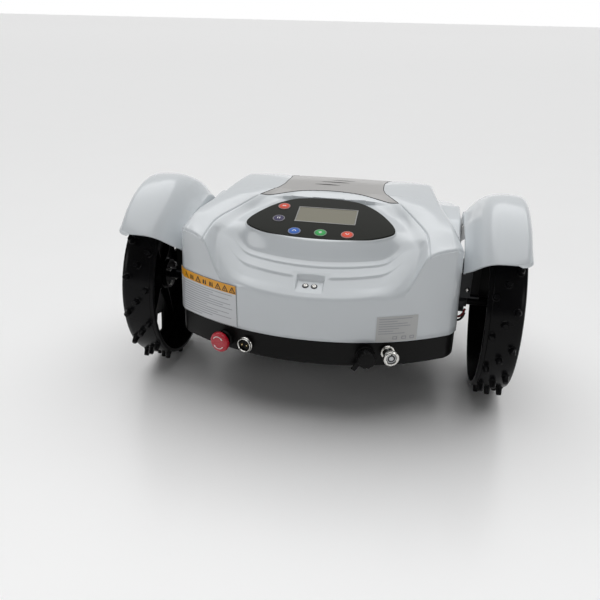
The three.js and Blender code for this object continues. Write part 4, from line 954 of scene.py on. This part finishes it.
def charge_socket():
    shell = [(0, -17), (7.4, -17), (7.4, 0.6), (9.3, 0.6), (9.6, 1.0), (9.6, 4.6), (9.0, 5.4),
             (8.8, 6.9), (8.4, 7.6), (7.9, 7.6), (7.5, 7.0), (7.4, -6), (0, -6)]
    round_piece("socket_shell", shell, SOCKET, NICKEL, "chassis", ("charge_socket",), 72)
    base = turned([(0, -5.6), (7.2, -5.6), (7.2, 3.4), (6.6, 4.0), (0, 4.0)], 48, "out", SOCKET)
    key = block((-1.2, -6.6, 5.2), (1.2, 5.6, 7.3))
    piece("socket_base", *joined([base, shifted(key, SOCKET)]), TRIM, "chassis",
          ("charge_socket_insert",), angle=30)
    pins = []
    for x in (-3.2, 3.2):
        pin = turned([(0, -4), (1.15, -4), (1.15, 6.0), (0.7, 6.7), (0, 6.9)], 20, "out",
                     SOCKET @ Matrix.Translation((x, 0, 0)))
        pins.append(pin)
    piece("socket_pins", *joined(pins), BRASS, "chassis", angle=35)


def key_switch():
    body = [(5.9, -10), (6.9, -10), (6.9, 0.6), (8.2, 0.6), (8.4, 1.0), (8.4, 3.8), (8.0, 4.3),
            (6.8, 4.5), (6.6, 5.2), (6.6, 11.5), (7.0, 13.6), (8.8, 16.0), (9.4, 17.0), (9.4, 19.2),
            (8.9, 20.2), (8.0, 20.7), (6.7, 20.6), (6.0, 20.0)]
    round_piece("lock_barrel_shell", body, LOCK, NICKEL, "chassis", ("lock_body",), 72)
    core = [(0, -10), (5.6, -10), (5.6, 19.2), (5.2, 19.6), (4.5, 19.6), (4.3, 19.2), (4.3, 15),
            (2.9, 15), (2.9, 19.2), (2.7, 19.5), (0, 19.6)]
    round_piece("lock_plug", core, LOCK, STEEL, "lock_barrel", ("lock_core",), 56)
    # A dark fill in the plug's ring groove and a dark notch on its face: painted shade of the keyway's
    # depth.
    well = turned([(3.0, 15.1), (4.25, 15.1), (4.25, 19.35), (3.0, 19.35)], 40, "out", LOCK)
    notch = block((-0.8, -20.9, 4.2), (0.8, -19.0, 6.6))
    piece("lock_keyway", *joined([well, shifted(notch, LOCK)]), PAINTED_SHADE, "lock_barrel", smooth=False)


def service_cap():
    socket = [(5.4, -10), (7.8, -10), (7.8, 0.8), (10.8, 0.8), (11.2, 1.4), (11.0, 3.0), (9.6, 4.2),
              (5.6, 4.2)]
    round_piece("service_collar", socket, SERVICE, TRIM, "chassis", ("service_socket",))
    foot = 4.5
    sides = 96
    points, faces = [], []
    profile = [(0, -6), (5.1, -6), (5.1, foot), (8.9, foot), (8.9, foot + 2.3), (9.9, foot + 2.4),
               (10.4, foot + 3.2), (10.4, foot + 12.4), (9.6, foot + 13.8), (8.2, foot + 14.3),
               (0, foot + 14.4)]
    for i in range(sides):
        t = 2 * math.pi * i / sides
        flute = 0.5 + 0.5 * math.cos(12 * t)
        for r, h in profile:
            cut = 0.8 * flute ** 3 if foot + 3 < h < foot + 14 else 0.0
            points.append(((r - cut) * math.cos(t), -h, (r - cut) * math.sin(t)))
    n = len(profile)
    for i in range(sides):
        j = (i + 1) % sides
        for k in range(n):
            m = (k + 1) % n
            faces.append((i * n + k, i * n + m, j * n + m, j * n + k))
    piece("service_cap_grip", moved(points, SERVICE), faces, TRIM, "cap", ("service_cap",), angle=24)
    ring = turned([(9.2, foot + 0.1), (11.2, foot + 0.1), (11.2, foot + 1.9), (9.2, foot + 1.9)], 48,
                  "out", SERVICE)
    tail = block((-3, -foot - 1.6, -23), (3, -foot - 0.3, -10.6))
    turn = SERVICE @ Matrix.Rotation(math.radians(38), 4, "Y")
    piece("cap_strap_loop", *joined([ring, shifted(tail, turn)]), TRIM, "cap_ring",
          ("cap_strap",), bevel=0.35)


def rain_sensor():
    slope = math.atan((RECESS_HIGH_Z - RECESS_LOW_Z) / (RECESS_BACK_Y - RECESS_FRONT_Y))
    z = RECESS_LOW_Z + math.tan(slope) * (RAIN_Y - RECESS_FRONT_Y)
    screws, shade_rings = [], []
    for dx in (-5, 5):
        here = Matrix.Translation((RAIN_X + dx, RAIN_Y, z)) @ Matrix.Rotation(slope, 4, "X")
        head = turned([(0, 0.7), (0.9, 0.7), (1.1, 1.55), (1.7, 1.6), (2.4, 1.2), (2.75, 0.4),
                       (2.75, -0.4), (0, -0.4)], 28, "z", here)
        screws.append(head)
        # A thin dark ring round each contact screw: painted shade of the gap round it.
        ring = turned([(2.9, 0.1), (3.7, 0.1), (3.7, 0.35), (2.9, 0.35)], 28, "z", here)
        shade_rings.append(ring)
    piece("rain_contacts", *joined(screws), NICKEL, "chassis", ("rain_sensor",), angle=25)
    piece("rain_contact_shade_rings", *joined(shade_rings), PAINTED_SHADE, "chassis", smooth=False)


# ------------------------------------------------------------------ labels
LABEL_S = np.linspace(-4, 4, 801)
EDGE_X, EDGE_Y, EDGE_A, EDGE_FLAT, _edge = plan_points(LABEL_S, ROWS[0], SIDE_DRAFT, DRAFT)
EDGE_Z = top_z(EDGE_A, EDGE_FLAT) - RIM_R
FOOT_X, FOOT_Y, _a, _flat, _edge = plan_points(LABEL_S, ROWS[0] - DRAFT)
FOOT_X, FOOT_Y = to_base(FOOT_X, FOOT_Y)


def skirt_point(x, z, out):
    """A place on the rear skirt at a signed half width, standing out from it."""
    def spot(at):
        up = (z - SKIRT_Z) / (np.interp(at, EDGE_X, EDGE_Z) - SKIRT_Z)
        return lerp(np.interp(at, FOOT_X, FOOT_Y), np.interp(at, EDGE_X, EDGE_Y), up)

    slope = (spot(x + 0.5) - spot(x - 0.5)) / 1.0
    size = np.hypot(slope, 1)
    return np.stack([x + out * slope / size, spot(x) - out / size, z + 0 * x], -1)


def label_patch(edges, out, columns=24, rows=6):
    """A patch of the skirt between (left, right, bottom, top) edges, standing out from it."""
    x0, x1, z0, z1 = edges
    xs, zs = np.meshgrid(np.linspace(x0, x1, columns), np.linspace(z0, z1, rows))
    points = skirt_point(xs.ravel(), zs.ravel(), out)
    return points, grid_faces(rows, columns)


def label_shape(outline, out):
    """A filled shape printed on a label, from (x, z) points."""
    p = np.array(outline, float)
    return skirt_point(p[:, 0], p[:, 1], out), [tuple(range(len(p)))]


def warning_sticker():
    x0, x1, z0, z1 = -170.2, -85.0, 115.6, 170.0
    strip = z1 - 11.5
    sheet = label_patch((x0, x1, z0, z1), 0.35, 60)
    piece("sticker_sheet", sheet[0], sheet[1], PAPER, "chassis", ("warning_sticker",))
    band = label_patch((x0 + 0.8, x1 - 0.8, strip, z1 - 0.8), 0.5, 60)
    piece("sticker_band", band[0], band[1], ORANGE, "chassis")
    border = [label_patch((x0, x1, z, z + 0.35), 0.52, 60, 2) for z in (z0, z1 - 0.4)]
    border += [label_patch((x, x + 0.4, z0, z1), 0.52, 2, 8) for x in (x0, x1 - 0.4)]
    piece("sticker_border", *joined(border), INK, "chassis")
    marks, fills = [], []
    count = 8
    for k in range(count):
        cx = x0 + 10.5 + (x1 - x0 - 16) * k / (count - 1)
        cz = strip + 5.0
        if k in (1, 3, 4):
            marks.append(label_shape([(cx - 2.6, cz - 3.2), (cx - 0.6, cz - 3.2), (cx - 0.2, cz + 1.5),
                                      (cx - 2.2, cz + 2.6)], 0.66))
            marks.append(label_shape([(cx + 0.6, cz - 3.2), (cx + 2.6, cz - 3.2), (cx + 2.0, cz + 3.0),
                                      (cx + 0.9, cz + 0.8)], 0.66))
        else:
            w, h = 4.4, 8.0
            tri = [(cx - w, cz - 3.9), (cx + w, cz - 3.9), (cx, cz - 3.9 + h)]
            hole = [(cx - w * 0.6, cz - 2.9), (cx + w * 0.6, cz - 2.9), (cx, cz - 2.9 + h * 0.6)]
            marks.append(label_shape(tri, 0.6))
            fills.append(label_shape(hole, 0.68))
            dot = [(cx - 0.55, cz - 2.1), (cx + 0.55, cz - 2.1), (cx + 0.35, cz + 0.6),
                   (cx - 0.35, cz + 0.6)]
            marks.append(label_shape(dot, 0.76))
    piece("sticker_pictograms", *joined(marks), INK, "chassis", smooth=False)
    piece("sticker_pictogram_fills", *joined(fills), ORANGE, "chassis", smooth=False)
    lines = []
    widths = (0.96, 0.62, 0.9, 0.55, 0.93, 0.8, 0.96, 0.5, 0.9, 0.7, 0.94, 0.6, 0.4)
    for k, share in enumerate(widths):
        z = strip - 3.4 - k * 3.0
        lines.append(label_patch((x0 + 3, x0 + 3 + (x1 - x0 - 6) * share, z, z + 0.75), 0.5, 40, 2))
    piece("sticker_lines", *joined(lines), GREY_INK, "chassis")


def rating_label():
    x0, x1, z0, z1 = 79.5, 125.5, 116.0, 148.0
    sheet = label_patch((x0, x1, z0, z1), 0.35, 30)
    piece("rating_sheet", sheet[0], sheet[1], RATING, "chassis", ("rating_label",))
    lines = []
    for k, share in enumerate((0.9, 0.5, 0.78, 0.86, 0.55, 0.4, 0.72)):
        z = z1 - 3.4 - k * 3.1
        lines.append(label_patch((x0 + 2.5, x0 + 2.5 + (x1 - x0 - 5) * share, z, z + 0.9), 0.5, 24, 2))
    for x in (x0 + 19, x0 + 29, x0 + 38):
        lines.append(label_patch((x, x + 5, z0 + 2.6, z0 + 3.5), 0.5, 6, 2))
        lines.append(label_patch((x, x + 5, z0 + 5.7, z0 + 6.6), 0.5, 6, 2))
        lines.append(label_patch((x, x + 0.8, z0 + 2.6, z0 + 6.6), 0.5, 2, 2))
        lines.append(label_patch((x + 4.2, x + 5, z0 + 2.6, z0 + 6.6), 0.5, 2, 2))
    piece("rating_lines", *joined(lines), GREY_INK, "chassis")


# ------------------------------------------------------------------ front and underside
def front_bumper():
    outer = NOSE_R + 9
    turns = np.radians(np.linspace(-37, 37, 80))
    section = [(-8, 88.6), (-7.2, 88), (-2.5, 88), (-0.8, 89.2), (0, 92), (0, 97), (-1.2, 98.2),
               (-1.2, 101.8), (0, 103), (0, 108), (-0.8, 110.8), (-2.5, 112), (-7.2, 112), (-8, 111.4)]
    points = [((outer + o) * math.sin(t), NOSE_Y - NOSE_R + (outer + o) * math.cos(t), z)
              for t in turns for o, z in section]
    n = len(section)
    faces = grid_faces(len(turns), n, closed=True)
    faces += [tuple(range(n)), tuple(range((len(turns) - 1) * n, len(turns) * n))]
    piece("bumper_band", points, faces, TRIM, "bumper", ("front_bumper",), angle=35)
    pegs = []
    for x in (-60, 60):
        shape = turned([(0, 386), (4, 386), (4, nose_y(x) + 3), (0, nose_y(x) + 3)], 24)
        lay = Matrix.Translation((x, 0, 100)) @ Matrix.Rotation(-math.pi / 2, 4, "X")
        pegs.append(shifted(shape, lay))
    piece("bumper_pegs", *joined(pegs), TRIM, "bumper", angle=35)


def caster_wheels():
    for side, prefix in ((-1, "left_"), (1, "right_")):
        r, half = 28.0, 11.0
        here = Matrix.Translation((side * 102, 342 - 17, r))
        tread = turned([(r - 9, -half + 2.5), (r - 6, -half), (r - 3, -half), (r - 0.8, -half + 2.2),
                        (r, -half + 5), (r, half - 5), (r - 0.8, half - 2.2), (r - 3, half),
                        (r - 6, half), (r - 9, half - 2.5)], 64, "x", here)
        piece(prefix + "caster_tread", tread[0], tread[1], RUBBER, prefix + "roller",
              (prefix + "caster_wheel",), angle=30)
        core = turned([(3.4, -half), (7, -half), (8.5, -half + 2.5), (r - 8.6, -half + 3.2),
                       (r - 8.6, half - 3.2), (8.5, half - 2.5), (7, half), (3.4, half)], 64, "x", here)
        piece(prefix + "caster_core", core[0], core[1], TRIM, prefix + "roller", angle=30)


def bracket_screws():
    """The bright screw that shows between the body and each wheel, and its neighbours."""
    shapes = []
    for side in (-1, 1):
        for x, z in ((177.5, 172), (184, 148)):
            here = Matrix.Translation((side * x, -34.2, z))
            shapes.append(turned([(0, 1.2), (0.9, 1.2), (1.1, 2.0), (2.1, 1.7), (2.8, 0.9), (3, 0),
                                  (0, 0)], 20, "out", here))
    piece("bracket_screws", *joined(shapes), NICKEL, "chassis", angle=30)


def leads():
    """The red and dark leads below each motor's end, along the CAD leads' route."""
    for side, prefix in ((-1, "left_"), (1, "right_")):
        for k, (mat, word) in enumerate(((RED_LEAD, "red"), (BLACK_LEAD, "black"))):
            route = [(150, -21, 112 - 5 * k), (156, -21, 112 - 5 * k), (168, -23.5, 107 - 5 * k),
                     (178, -24, 104 - 5 * k), (184, -21, 108 - 5 * k),
                     (185.6, -17.6 - 1.5 * k, 115 - 5 * k)]
            data = bpy.data.curves.new(prefix + word + "_lead", "CURVE")
            data.dimensions = "3D"
            data.bevel_depth = 1.5 * MM
            data.bevel_resolution = 4
            line = data.splines.new("NURBS")
            line.points.add(len(route) - 1)
            for point, (x, y, z) in zip(line.points, route):
                point.co = (side * x * MM, (y + AXLE_Y) * MM, z * MM, 1)
            line.use_endpoint_u = True
            line.order_u = 4
            data.materials.append(mat)
            obj = bpy.data.objects.new(prefix + word + "_lead", data)
            bpy.context.collection.objects.link(obj)
            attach(obj, "chassis")
            if k == 0:
                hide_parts(prefix + "motor_leads")


KEPT = {
    "battery_hatch": (CHASSIS, 0.8), "battery_pack": (BATTERY, 1.5), "main_board": (BOARD, 0.2),
    "display_board": (BOARD, 0.2), "blade_guard": (TRIM, 0.6), "blade_motor": (STEEL, 0.8),
    "height_carriage": (DARK_STEEL, 0.6), "blade_disc": (TRIM, 0.5), "estop_stem": (TRIM, 0.4),
    "blade_1": (STEEL, 0.2), "blade_2": (STEEL, 0.2), "blade_3": (STEEL, 0.2),
    "blade_screw_1": (NICKEL, 0.3), "blade_screw_2": (NICKEL, 0.3), "blade_screw_3": (NICKEL, 0.3),
}
for _side in ("left_", "right_"):
    KEPT.update({
        _side + "gear_motor": (DARK_STEEL, 0.8), _side + "motor_bracket": (DARK_STEEL, 0.4),
        _side + "speed_sensor": (TRIM, 1.2), _side + "charging_contact": (NICKEL, 0.4),
        _side + "hub": (TRIM, 0.4), _side + "caster_fork": (TRIM, 0.8),
        _side + "caster_axle": (STEEL, 0.3),
    })


def dress_kept_nodes():
    for node, (mat, bevel) in KEPT.items():
        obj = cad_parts[node]
        obj.data.materials.clear()
        obj.data.materials.append(mat)
        mod = obj.modifiers.new("edges", "BEVEL")
        mod.width = bevel * MM
        mod.segments = 2
        mod.limit_method = "ANGLE"
        mod.angle_limit = math.radians(50)
        mod.harden_normals = False


# ------------------------------------------------------------------ stage, lights, camera
def floor():
    bpy.ops.mesh.primitive_plane_add(size=80, location=(0, 0, -0.0005))
    plane = bpy.context.object
    plane.name = "studio_floor"
    plane.data.materials.append(finish_of("floor_white", (0.93, 0.93, 0.93), 0.28, speckle=0.003,
                                          grain=3, bump=0.0, rough_spread=0.02))


def ramp(tree, source, low, high, start, end):
    """A smooth change from one value to another as the source rises."""
    step = node_of(tree, "ShaderNodeMapRange", From_Min=low, From_Max=high, To_Min=start, To_Max=end)
    step.interpolation_type = "SMOOTHSTEP"
    tree.links.new(source, step.inputs["Value"])
    return step.outputs["Result"]


def brighter(tree, first, second):
    larger = tree.nodes.new("ShaderNodeMath")
    larger.operation = "MAXIMUM"
    tree.links.new(first, larger.inputs[0])
    tree.links.new(second, larger.inputs[1])
    return larger.outputs["Value"]


def studio_world():
    """A dim room with a bright backdrop, a bright horizon and a soft ceiling."""
    world = bpy.data.worlds.new("studio")
    bpy.context.scene.world = world
    world.use_nodes = True
    tree = world.node_tree
    back = tree.nodes["Background"]
    back.inputs["Strength"].default_value = 1.0
    where = tree.nodes.new("ShaderNodeTexCoord")
    split = tree.nodes.new("ShaderNodeSeparateXYZ")
    tree.links.new(where.outputs["Generated"], split.inputs["Vector"])
    along, up = split.outputs["Y"], split.outputs["Z"]
    backdrop = ramp(tree, along, -0.2, 0.75, 0.07, 0.62)
    ceiling = ramp(tree, up, 0.25, 0.9, 0.0, 0.2)
    horizon = ramp(tree, up, 0.04, 0.16, 1.0, 0.05)
    light = brighter(tree, brighter(tree, backdrop, ceiling), horizon)
    tree.links.new(light, back.inputs["Color"])


def lights():
    key = bpy.data.lights.new("key_sun", "SUN")
    key.energy = 1.9
    key.angle = math.radians(84)
    lamp = bpy.data.objects.new("key_sun", key)
    bpy.context.collection.objects.link(lamp)
    lamp.rotation_euler = Vector((0.04, -0.26, -1.0)).to_track_quat("-Z", "Y").to_euler()
    softbox("left_strip", (-1.5, -1.0, 0.75), (-0.1, -0.1, 0.12), 0.5, 2)
    softbox("right_strip", (1.5, -1.25, 0.8), (0.1, -0.1, 0.12), 0.5, 1.6)


def softbox(name, where, target, size, power):
    data = bpy.data.lights.new(name, "AREA")
    data.energy = power
    data.size = size
    obj = bpy.data.objects.new(name, data)
    bpy.context.collection.objects.link(obj)
    obj.location = where
    obj.rotation_euler = (Vector(target) - Vector(where)).to_track_quat("-Z", "Y").to_euler()


def camera():
    data = bpy.data.cameras.new("camera")
    data.lens = 38.82
    data.sensor_width = 36
    cam = bpy.data.objects.new("camera", data)
    bpy.context.collection.objects.link(cam)
    azimuth, elevation, roll = 0.177706, 0.418879, 0.02142
    back = Vector((math.sin(azimuth) * math.cos(elevation), -math.cos(azimuth) * math.cos(elevation),
                   math.sin(elevation)))
    right = Vector((math.cos(azimuth), math.sin(azimuth), 0))
    up = back.cross(right)
    side = math.cos(roll) * right + math.sin(roll) * up
    top = -math.sin(roll) * right + math.cos(roll) * up
    spot = Vector((110.2, AXLE_Y - 805.8, 461.5)) * MM
    turn = Matrix((side, top, back)).transposed()
    cam.matrix_world = Matrix.Translation(spot) @ turn.to_4x4()
    bpy.context.scene.camera = cam


camera()
top_cover()
hood_insert()
control_panel()
display()
for _name in BUTTONS:
    button(_name)
for _side, _prefix in ((-1, "left_"), (1, "right_")):
    wheel_cover(_side, _prefix + "arch", _prefix + "wheel_cover")
for _side, _prefix in ((-1, "left_"), (1, "right_")):
    drive_wheel(_side, _prefix)
chassis_pan()
stop_button()
charge_socket()
key_switch()
service_cap()
rain_sensor()
warning_sticker()
rating_label()
front_bumper()
caster_wheels()
bracket_screws()
leads()
dress_kept_nodes()
floor()
studio_world()
lights()
bpy.context.scene.view_settings.view_transform = "Standard"
